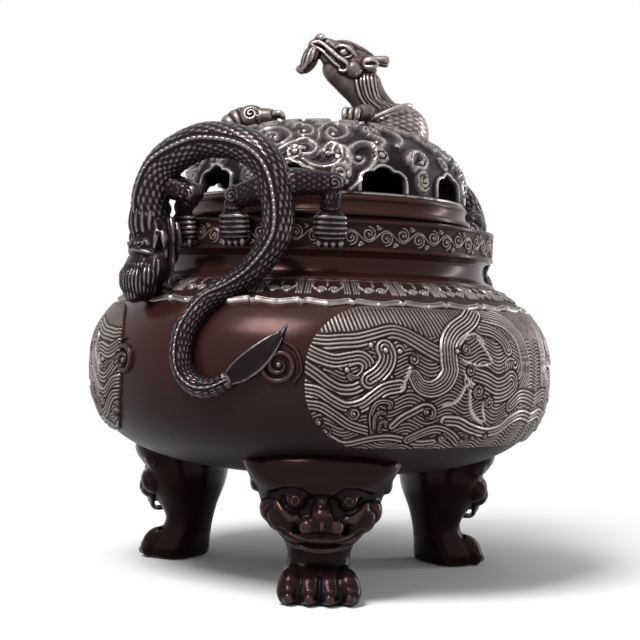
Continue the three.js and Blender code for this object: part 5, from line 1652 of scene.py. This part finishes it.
def handle_leg_mesh(name, hip, knee, azimuth):
    """A scaled leg from the dragon's body over its knee to the ribbed paw on the band."""
    clay = Clay()

    def by_band(out, rise, turn=0):
        return around(BAND_RADIUS + 1.4 + out, azimuth + turn, LIP_Z + rise)

    cuff = by_band(2.2, 5)
    wrist = by_band(1.8, 1)
    hip, knee = np.array(hip, float), np.array(knee, float)
    clay.limb([hip, (hip * 2 + knee) / 3 + (0, 0, 0.8), knee], (6.2, 5.5, 4.8), up=from_axis,
              relief=leg_skin(2.3), sides=56, rings=110)
    clay.ball(knee + (-0.8, 0, 0.4), (5, 5, 5), fine=4)
    clay.limb([knee, (knee + cuff) / 2 + (-0.8, 0, 0), cuff, wrist], (4.8, 4.4, 4.3, 4.3), up=from_axis,
              relief=leg_skin(2.2), sides=56, rings=120)
    paw = [by_band(1, 3.5), wrist, by_band(1.4, -5), by_band(0.6, -11)]
    clay.limb(paw, (3.2, 3.4, 3.6, 2.6), up=from_axis, flat=1.95, relief=ribs(0.7, 2.3, 1), sides=40,
              rings=150)
    for place in (-1.5, -0.5, 0.5, 1.5):
        turn = place * CLAW_STEP
        claw = [by_band(1.4, -9, turn), by_band(2.2, -11.6, turn), by_band(1.2, -14, turn)]
        clay.limb(claw, (1.2, 1.5, 0.6), up=from_axis, sides=14, rings=30)
    mesh = clay.fused(name, HANDLE_LEG_VOXEL, 1)
    points = mesh_points(mesh)
    radius = np.hypot(points[:, 0], points[:, 1])
    sunk = (points[:, 2] < LIP_Z) & (radius < BAND_RADIUS - 1.5)
    scale = np.where(sunk, (BAND_RADIUS - 1.5) / np.maximum(radius, 1e-6), 1)
    points[:, :2] *= scale[:, None]
    set_points(mesh, points)
    graver = Graver(mesh)
    out = from_axis(knee)
    graver.curl(knee + out / np.linalg.norm(out) * 4.8, 2.8, 1.5, tuple(out), 0.7, -0.7)
    return graver.done()


# Knob dragon, made in its own frame with X to the right of the photograph, and then turned

FINIAL_AZIMUTH = -61.7


def knob_head_clay():
    """Neck, throat, skull, jaws with the combed beard between them, eyes, brows, crest, horns and ears."""
    clay = Clay(mirror=1)
    neck = [(38, 0, 230.5), (30, 0, 233.8), (23.2, 0, 241.4), (19.6, 0, 249.4), (18.2, 0, 256.4)]
    clay.limb(neck, (8.2, 7.8, 7.6, 7.4, 8.4), up=(1, 0, 0.2), flat=1.05, sides=40, rings=80)
    throat = [(-1.4, 0, 261.6), (3.6, 0, 256.2), (9.3, 0, 251.5), (16, 0, 245), (21, 0, 238), (24, 0, 231)]
    clay.limb(throat, (5.2, 7, 7.6, 7.4, 7.4, 8), up=(-1, 0, 0), flat=0.9, sides=40, rings=80)
    clay.ball((14.5, 0, 259.4), (9.4, 8.2, 7.4), turn=(0, 22, 0), fine=4)
    muzzle = [(14, 0, 263.4), (6.5, 0, 265.6), (0, 0, 268.4), (-4, 0, 271)]
    clay.limb(muzzle, (5.8, 5, 4, 3.2), up=(0.3, 0, 1), flat=1.15, sides=30, rings=60)
    clay.ball((-4.9, 0, 271.4), (3, 4, 3.4), fine=4)
    clay.balls((-4.4, 2.8, 272.2), (2.2, 2, 2.1))
    clay.ball((-7.4, 0, 268.2), (3.8, 4.4, 3.4), turn=(0, 30, 0), fine=4)
    jaw = [(15, 0, 254.5), (7.5, 0, 257), (1, 0, 261.5), (-3.4, 0, 266.4)]
    clay.limb(jaw, (6.8, 6.2, 5, 3.6), flat=1.1, sides=30, rings=60)
    beard = np.array([(-7.4, 0, 267.6), (-9.2, 0, 263.4), (-10.4, 0, 259.6), (-12.6, 0, 256.6),
                      (-17, 0, 256.4)])
    widths = np.array([3.2, 4.3, 4.1, 2.8, 0.3])[:, None]
    across = np.array([(0.9, 0, 0.2), (0.95, 0, 0.3), (0.9, 0, 0.5), (0.45, 0, 0.9), (0.1, 0, 1)])
    clay.limb(beard, (3.2, 4.3, 4.1, 2.8, 0.9), up=AHEAD)
    for angle in np.radians(np.arange(15, 375, 30)):
        flute = beard + widths * (across * math.cos(angle) + np.array([0, 1.05, 0]) * math.sin(angle))
        clay.limb(flute, (0.8, 0.95, 0.95, 0.8, 0.7), up=AHEAD, sides=12, rings=60)
    upper_lip = [(-8.4, 2.4, 270.4), (-4, 4.4, 269), (0.6, 5.8, 265.2), (4.8, 6.9, 261.6), (8.8, 7.9, 258.8),
                 (9.8, 8.1, 256.2), (7.4, 7.7, 254.4), (4.6, 7, 255.6)]
    clay.limbs(upper_lip, (0.9, 1, 1.1, 1.2, 1.2, 1.1, 1, 0.8))
    lower_lip = [(-6.6, 3.6, 267.2), (-3, 4.8, 264.6), (0.4, 5.8, 261.4), (4, 6.9, 257.8), (6, 7.4, 256.8)]
    clay.limbs(lower_lip, (0.8, 0.9, 1, 1, 0.8))
    clay.balls((12.4, 6.4, 255.8), (4.6, 3.2, 4.6), turn=(0, 20, 0))
    clay.balls((7.6, 5.6, 264.4), (2.5, 1.7, 1.9))
    brow = [(2.4, 4.6, 266.4), (5.4, 5.9, 267.6), (9.6, 6.8, 266.4), (13, 7.1, 263), (15.4, 7.1, 259.6)]
    clay.limbs(brow, (0.8, 1.1, 1.2, 1.1, 0.6))
    clay.limbs([(4.4, 5.4, 262), (8, 7, 261.4), (11.4, 7.3, 262.6)], (0.5, 0.7, 0.5))
    crest = [(1, 0, 269.6), (8.5, 0, 269.4), (16, 0, 266), (23, 0, 262)]
    clay.limb(crest, (1.6, 2.4, 2.6, 2.2))
    clay.limbs([(17, 3, 262.6), (22, 3.8, 261.4), (27, 4.2, 261.4), (31, 4.2, 261)], (2.2, 2, 2.1, 2.5))
    clay.balls((20.8, 8, 258.6), (4.5, 1.6, 3.7), turn=(0, 12, 8))
    collar = [(18.5, 10.4, 228.2), (24, 11.8, 231), (33, 11, 235.4), (39, 8, 238), (43, 3, 238.6)]
    clay.limbs(collar, (1.3, 1.4, 1.4, 1.3, 1.2), up=(0, -0.5, 1))
    return clay


def finial_head_mesh():
    """Head and neck, which look up and to the left: mouth, eyelids, nostrils, ears and neck strands cut."""
    mesh = knob_head_clay().fused("finial_head", KNOB_HEAD_VOXEL, 2)
    seat_on(mesh, DOME, 1.2)
    graver = Graver(mesh, mirror=1)
    mouth = [(-8.4, 3, 268.8), (-3.6, 5, 266.8), (-0.4, 5.8, 263.4), (3.6, 6.9, 259.6), (7.4, 7.9, 256.6)]
    graver.strokes(mouth, 0.8, -1.2, onto=(0, 1, 0))
    eyelid = [(4.4, 6.4, 263.6), (7, 7.4, 262.6), (10.2, 7.2, 263.2), (10.6, 7, 265.4), (7.6, 7, 266.4),
              (4.8, 6.6, 265.6)]
    graver.strokes(eyelid, 0.7, -0.8)
    for side in (-1, 1):
        graver.curl((-5.6, side * 3.8, 273.2), 0.9, 1, (-0.4, side * 0.8, 0.5), 0.6, -0.8)
        for offset in (-1.4, -0.4, 0.6, 1.6):
            dent = [(19.2 + offset, side * 9.6, 258.6 + 0.2 * offset), (22 + offset, side * 9.8, 258.2)]
            graver.stroke(dent, 1.3, -1)
        for place in np.linspace(0, 1, 6):
            strand = [(14 + 9.5 * place, side * 8, 253 + 2 * place), (14.6 + 9.6 * place, side * 8, 247.6),
                      (17 + 9.6 * place, side * 8, 241), (22 + 11.5 * place, side * 8, 235 + 3 * place)]
            graver.comb(strand, (0, side, 0), 0.9, 0.8 - 0.25 * (round(place * 5) % 2))
    return about_axis(graver.done(reach_mm=0.12), FINIAL_AZIMUTH)


def finial_skin(length, turn):
    """Diamond scales, with a ridge along the back."""
    away = np.abs((turn + math.pi) % (2 * math.pi) - math.pi)
    scales = scale_relief(length, turn, 2.3, 28, 0.65)
    return scales * stepped(away, 0.1, 0.2) + 1.2 * np.exp(-(away / 0.11) ** 2)


def dome_place(angle, radius, rise):
    """A place over the dome at an angle of the knob dragon's own frame."""
    turn = math.radians(angle)
    return (radius * math.cos(turn), radius * math.sin(turn), DOME.upper_z(radius) + rise)


def finial_body_mesh():
    """The body, round the back of the crown."""
    line = [(17, 0, 228), (24, 0, 228.6), (31, 1, 229), (37, 4.5, 228.6), (40.5, 10.5, 226.8)]
    line += [dome_place(*place) for place in (
        (28, 44, 1.5), (50, 42, 1), (80, 39, 1), (110, 38, 1), (140, 39, 2), (168, 40, 4))]
    radii = (6, 10, 11.6, 11.8, 10.8, 9.4, 8.6, 8, 7.4, 7, 6.6, 6.2)
    mesh = swept_mesh("finial_body", line, radii, KNOB_CELLS, UP, finial_skin)
    seat_on(mesh, DOME, 1.2)
    return about_axis(edge_wear_and_hollow_shade(mesh), FINIAL_AZIMUTH)


def finial_forepaw_mesh():
    """The raised forepaw in front of the neck, with three toes."""
    clay = Clay(mirror=1)
    arm = [(23, -9, 233), (18, -12.5, 233), (13.5, -14, 230.8), (11.5, -14.5, 228)]
    clay.limb(arm, (5, 4.4, 3.8, 3.4), up=(0, -1, 0.3))
    for place in (-1, 0, 1):
        x = 11.8 + place * 2.9
        toe = [(x + 0.6, -14.5, 233.6), (x, -17.4, 233), (x - 0.4, -18.4, 230), (x - 0.6, -17.6, 227.6)]
        clay.limb(toe, (1.7, 1.9, 1.8, 1.1), up=AHEAD)
    mesh = clay.fused("finial_forepaw", FINE_VOXEL, 1)
    seat_on(mesh, DOME, 1)
    return about_axis(edge_wear_and_hollow_shade(mesh), FINIAL_AZIMUTH)


def finial_haunch_mesh():
    """Hind leg with its claws on the left of the crown, and the ribbed end of the tail."""
    clay = Clay(mirror=1)
    clay.ball((-38.6, 0, 230.6), (7.4, 8, 6.6), fine=4)
    clay.limb([(-38, -2, 230), (-31, -4.5, 231), (-25, -5.5, 230.5)], (5.6, 4.2, 3.4))
    for y in (-3.4, 0, 3.4):
        claw = [(-28, -5.5 + y * 0.6, 231.6), (-24, -5.8 + y, 232), (-21.4, -6 + y, 229.6)]
        clay.limb(claw, (1.7, 1.8, 1), sides=14)
    tail = [(-38, 2, 229.5), (-44, 1.5, 229), (-49.5, 0, 226.2), (-54, -1.5, 221)]
    clay.limb(tail, (7, 6.4, 5, 2.6), relief=ribs(0.8, 3.6, 0.8), sides=30, rings=80)
    mesh = clay.fused("finial_haunch", FINE_VOXEL, 1)
    seat_on(mesh, DOME, 1.2)
    graver = Graver(mesh, mirror=1)
    graver.curl((-39, -7.6, 232), 3.6, 1.4, (0, -1, 0.25), 0.9, -1)
    return about_axis(graver.done(), FINIAL_AZIMUTH)


# Stage


# What the lamps point at, how far away they are, and where the floor starts to fade, in metres
LIT_PLACE = (0, 0, 0.12)
LAMP_DISTANCE = 1.1
FLOOR_FADE_START = 0.15
FLOOR_FADE_RATE = 4
# The floor's radius in millimetres
FLOOR_RADIUS = 3000
WHITE = (1, 1, 1, 1)


def stage_camera():
    """The camera as fitted to the photograph."""
    data = bpy.data.cameras.new("camera")
    data.sensor_width = SENSOR_WIDTH
    data.lens = FOCAL_PIXELS / IMAGE_PIXELS * SENSOR_WIDTH
    data.shift_x = 0.5 - PRINCIPAL_PIXEL[0] / IMAGE_PIXELS
    data.shift_y = PRINCIPAL_PIXEL[1] / IMAGE_PIXELS - 0.5
    data.clip_start = 0.01
    camera = in_scene("camera", data)
    angle = math.radians(CAMERA_AZIMUTH)
    toward = Vector((math.sin(angle), -math.cos(angle), 0))
    place = toward * CAMERA_DISTANCE * MM + Vector((0, 0, CAMERA_HEIGHT * MM))
    level = toward.to_track_quat("Z", "Y").to_matrix().to_4x4()
    camera.matrix_world = Matrix.Translation(place) @ level @ Matrix.Rotation(CAMERA_ROLL, 4, "Z")
    bpy.context.scene.camera = camera


def stage_lamp(name, azimuth, elevation, size, power):
    """A square soft lamp that points at the middle of the object, at an azimuth from the camera."""
    data = bpy.data.lights.new(name, "AREA")
    data.shape = "RECTANGLE"
    data.size, data.size_y = size
    data.energy = power
    lamp = in_scene(name, data)
    turn = math.radians(CAMERA_AZIMUTH + azimuth)
    lift = math.radians(elevation)
    out = Vector((math.sin(turn) * math.cos(lift), -math.cos(turn) * math.cos(lift), math.sin(lift)))
    facing = out.to_track_quat("Z", "Y").to_matrix().to_4x4()
    lamp.matrix_world = Matrix.Translation(out * LAMP_DISTANCE + Vector(LIT_PLACE)) @ facing


def stage_world(strength):
    """White to the camera and in reflections, and a gentler white as light."""
    world = bpy.data.worlds.new("studio")
    bpy.context.scene.world = world
    world.use_nodes = True
    nodes = Nodes(world.node_tree)
    camera, glossy, passing = [nodes.node("ShaderNodeLightPath", result=f"Is {kind} Ray")
                               for kind in ("Camera", "Glossy", "Transmission")]
    light, seen = [nodes.node("ShaderNodeBackground", None, WHITE, value) for value in (strength, 1.0)]
    whole = camera.at_least(glossy).at_least(passing)
    output = nodes.tree.nodes.new("ShaderNodeOutputWorld")
    nodes.give(output.inputs[0], nodes.node("ShaderNodeMixShader", None, whole, light, seen))


def stage_floor(colour):
    """A round pale floor that runs out into the white of the background."""
    mesh, places = disc("floor", FLOOR_CELLS, FLOOR_RADIUS)
    set_points(mesh, np.column_stack([places, np.zeros(len(places))]))
    finish = Finish("pale floor")
    away = finish.node("ShaderNodeVectorMath", {"operation": "LENGTH"}, finish.place(), result=1)
    fade = ((away - FLOOR_FADE_START) * FLOOR_FADE_RATE).clamped()
    plain = finish.node("ShaderNodeBsdfDiffuse", None, Color=(*colour, 1), Roughness=1.0)
    white = finish.node("ShaderNodeEmission", None, Color=WHITE, Strength=1.0)
    finish.give(finish.output.inputs[0], finish.node("ShaderNodeMixShader", None, fade, plain, white))
    mesh.materials.append(finish.material)
    in_scene("floor", mesh)


# Sizes that a user would change


def length_size(name, description, default_mm, largest_mm=10.0):
    """A length setting, kept in metres."""
    return bpy.props.FloatProperty(name=name, description=description, default=default_mm * MM, min=0.0,
                                   max=largest_mm * MM, precision=4, subtype="DISTANCE", unit="LENGTH")


class ReliefSizes(bpy.types.PropertyGroup):
    """Heights of the relief and the softness of turned edges."""

    edge_rounding: length_size("Edge rounding", "Radius of the worn edges on the turned pieces", 0.35)
    frieze_height: length_size("Frieze relief", "Height of the scrolls over the sunk ground of the rim band",
                               0.95)
    lappet_lift: length_size("Lappet lift", "How far the lappet band stands off the shoulder", 0.35)
    wave_height: length_size("Wave relief", "Greatest height of the wave panels over the bowl", 2.0)
    dome_height: length_size("Dome relief", "Greatest height of the scrolls on the dome", 3.2)


def power_setting(name, place, default):
    """The power of a lamp."""
    return bpy.props.FloatProperty(name=name, description=f"Power of the lamp {place}", default=default,
                                   min=0, max=200, unit="POWER")


class StageSettings(bpy.types.PropertyGroup):
    """Light and floor of the studio."""

    key_power: power_setting("Key lamp", "on the left", 12.0)
    fill_power: power_setting("Fill lamp", "on the right", 5.0)
    top_power: power_setting("Top lamp", "overhead", 2.5)
    room_light: bpy.props.FloatProperty(
        name="Room light", description="Strength of the even light from all round", default=0.36,
        min=0, max=2)
    floor_colour: colour_setting("Floor", "Colour of the pale floor", (0.86, 0.86, 0.87))


# Operators


class CENSER_OT_stage(bpy.types.Operator):
    """Sets the camera, the lamps, the room light and the floor"""

    bl_idname = "censer.stage"
    bl_label = "Stage"

    def execute(self, context):
        stage = context.scene.censer_stage
        context.scene.view_settings.view_transform = "Standard"
        stage_camera()
        stage_lamp("key lamp", -32, 51, (0.4, 0.4), stage.key_power)
        stage_lamp("fill lamp", 108, 12, (0.1, 0.9), stage.fill_power)
        stage_lamp("top lamp", 0, 80, (0.9, 0.9), stage.top_power)
        stage_world(stage.room_light)
        stage_floor(tuple(stage.floor_colour))
        return {"FINISHED"}


class CENSER_OT_bowl(bpy.types.Operator):
    """Makes the bowl and the four raised curls on its sides"""

    bl_idname = "censer.bowl"
    bl_label = "Bowl"

    def execute(self, context):
        colours = context.scene.censer_colours
        rounding = context.scene.censer_sizes.edge_rounding / MM
        bowl = lathe("bowl", bowl_outline(), bevel=rounding)
        finish_piece("bowl_shell", bowl, polished_finish("polished bronze", colours), "vessel", ("bowl",))
        dark = relief_finish("curl", colours)
        for name, side in (("left", 0), ("right", 180)):
            for place, azimuth, z, hand in (("front", -70.6, 107.7, 1), ("back", -113.6, 106.8, -1)):
                mesh = whorl_mesh(azimuth + side, z, hand)
                finish_piece(f"whorl_{name}_{place}", mesh, dark, "vessel")
        return {"FINISHED"}


class CENSER_OT_collar(bpy.types.Operator):
    """Makes the neck with its scroll frieze"""

    bl_idname = "censer.collar"
    bl_label = "Neck and frieze"

    def execute(self, context):
        colours = context.scene.censer_colours
        sizes = context.scene.censer_sizes
        brown = polished_finish("polished neck", colours)
        collar = lathe("collar", collar_outline(), bevel=sizes.edge_rounding / MM)
        finish_piece("neck_and_lip", collar, brown, "vessel", ("rim_collar",))
        frieze = frieze_mesh(sizes.frieze_height / MM)
        finish_piece("scroll_frieze", frieze, relief_finish("frieze", colours), "vessel")
        return {"FINISHED"}


class CENSER_OT_lappets(bpy.types.Operator):
    """Makes the band of hanging lappets round the shoulder"""

    bl_idname = "censer.lappets"
    bl_label = "Lappets"

    def execute(self, context):
        mesh = lappet_mesh(context.scene.censer_sizes.lappet_lift / MM)
        finish = relief_finish("lappet", context.scene.censer_colours)
        finish_piece("lappets", mesh, finish, "vessel", ("shoulder_lappet_band",))
        return {"FINISHED"}


class CENSER_OT_wave_panels(bpy.types.Operator):
    """Makes the front and rear panels of combed waves"""

    bl_idname = "censer.wave_panels"
    bl_label = "Wave panels"

    def execute(self, context):
        finish = relief_finish("wave", context.scene.censer_colours)
        half = panel_half_mesh(context.scene.censer_sizes.wave_height / MM)
        other = mirrored(half)
        for name, turn in (("front", 0), ("rear", 180)):
            for side, mesh in (("left", half), ("right", other)):
                finish_piece(f"{name}_waves_{side}", about_axis(mesh.copy(), turn), finish, "vessel",
                             (f"{name}_wave_panel",))
        return {"FINISHED"}


class CENSER_OT_legs(bpy.types.Operator):
    """Makes the three legs with their beast masks and paws"""

    bl_idname = "censer.legs"
    bl_label = "Legs"

    def execute(self, context):
        finish = relief_finish("leg", context.scene.censer_colours)
        leg = leg_mesh()
        for node, azimuth in LEG_CENTRES.items():
            finish_piece(node.replace("leg", "mask_leg"), about_axis(leg.copy(), azimuth), finish, "vessel",
                         (node,))
        return {"FINISHED"}


class CENSER_OT_handles(bpy.types.Operator):
    """Makes the two dragons that climb the vessel as its handles"""

    bl_idname = "censer.handles"
    bl_label = "Dragon handles"

    def execute(self, context):
        finish = relief_finish("dragon", context.scene.censer_colours)
        made = {"body": handle_body_mesh(), "head": handle_head_mesh()}
        for name, (hip, knee, azimuth) in HANDLE_LEGS.items():
            made[name] = handle_leg_mesh(name, hip, knee, azimuth)
        tuft = tail_tuft_mesh()
        for side, turn in (("left", 0), ("right", 180)):
            for part, mesh in made.items():
                finish_piece(f"dragon_{side}_{part}", about_axis(mesh.copy(), turn), finish, "vessel",
                             (f"handle_{side}_{part}",))
            finish_piece(f"dragon_{side}_tuft", about_axis(tuft.copy(), turn), finish, "vessel")
        return {"FINISHED"}


class CENSER_OT_lid(bpy.types.Operator):
    """Makes the lid's seat ring and its pierced dome"""

    bl_idname = "censer.lid"
    bl_label = "Lid"

    def execute(self, context):
        colours = context.scene.censer_colours
        sizes = context.scene.censer_sizes
        brown = polished_finish("polished lid ring", colours)
        ring = lathe("lid_ring", lid_ring_outline(), bevel=sizes.edge_rounding / MM)
        finish_piece("lid_seat", ring, brown, "lid", ("lid_ring",))
        dome = pierced_dome_mesh(sizes.dome_height / MM)
        finish_piece("pierced_dome", dome, relief_finish("cloud", colours), "lid", ("lid_dome",))
        return {"FINISHED"}


class CENSER_OT_knob(bpy.types.Operator):
    """Makes the dragon on the lid"""

    bl_idname = "censer.knob"
    bl_label = "Knob dragon"

    def execute(self, context):
        finish = relief_finish("knob", context.scene.censer_colours)
        for part, make in (("head", finial_head_mesh), ("body", finial_body_mesh),
                           ("forepaw", finial_forepaw_mesh), ("haunch", finial_haunch_mesh)):
            finish_piece(f"knob_{part}", make(), finish, "lid", (f"finial_dragon_{part}",))
        return {"FINISHED"}


class CENSER_OT_fasteners(bpy.types.Operator):
    """Gives the rivets, the stud and the nut their plain bronze"""

    bl_idname = "censer.fasteners"
    bl_label = "Fasteners"

    def execute(self, context):
        plain = polished_finish("plain fasteners", context.scene.censer_colours, redder=True, roughness=0.38)
        for node in ("leg_rivet_front_left", "leg_rivet_front_right", "leg_rivet_rear", "finial_stud",
                     "finial_nut"):
            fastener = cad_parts[node]
            if not fastener.material_slots:
                fastener.data.materials.append(plain)
            for slot in fastener.material_slots:
                slot.material = plain
        return {"FINISHED"}


class CENSER_PT_panel(bpy.types.Panel):
    """Lists the pieces and their settings"""

    bl_idname = "CENSER_PT_panel"
    bl_label = "Bronze incense burner"
    bl_space_type = "VIEW_3D"
    bl_region_type = "UI"
    bl_category = "Censer"

    def draw(self, context):
        for heading, key in (("Colours", "colours"), ("Sizes", "sizes"), ("Stage", "stage")):
            group = getattr(context.scene, f"censer_{key}")
            box = self.layout.box()
            box.label(text=heading)
            for setting in group.__annotations__:
                box.prop(group, setting)
        for operator in OPERATORS:
            self.layout.operator(operator.bl_idname)


SETTINGS = {"censer_colours": BronzeColours, "censer_sizes": ReliefSizes, "censer_stage": StageSettings}
OPERATORS = (CENSER_OT_stage, CENSER_OT_bowl, CENSER_OT_collar, CENSER_OT_lappets, CENSER_OT_wave_panels,
             CENSER_OT_legs, CENSER_OT_handles, CENSER_OT_lid, CENSER_OT_knob, CENSER_OT_fasteners)


def register():
    for group in SETTINGS.values():
        bpy.utils.register_class(group)
    for key, group in SETTINGS.items():
        setattr(bpy.types.Scene, key, bpy.props.PointerProperty(type=group))
    for kind in (*OPERATORS, CENSER_PT_panel):
        bpy.utils.register_class(kind)


def unregister():
    for kind in (CENSER_PT_panel, *reversed(OPERATORS)):
        bpy.utils.unregister_class(kind)
    for key, group in SETTINGS.items():
        delattr(bpy.types.Scene, key)
        bpy.utils.unregister_class(group)


def main():
    register()
    bpy.ops.censer.stage()
    bpy.ops.censer.bowl()
    bpy.ops.censer.collar()
    bpy.ops.censer.lappets()
    bpy.ops.censer.wave_panels()
    bpy.ops.censer.legs()
    bpy.ops.censer.handles()
    bpy.ops.censer.lid()
    bpy.ops.censer.knob()
    bpy.ops.censer.fasteners()
    bpy.context.view_layer.update()


if __name__ == "__main__":
    main()
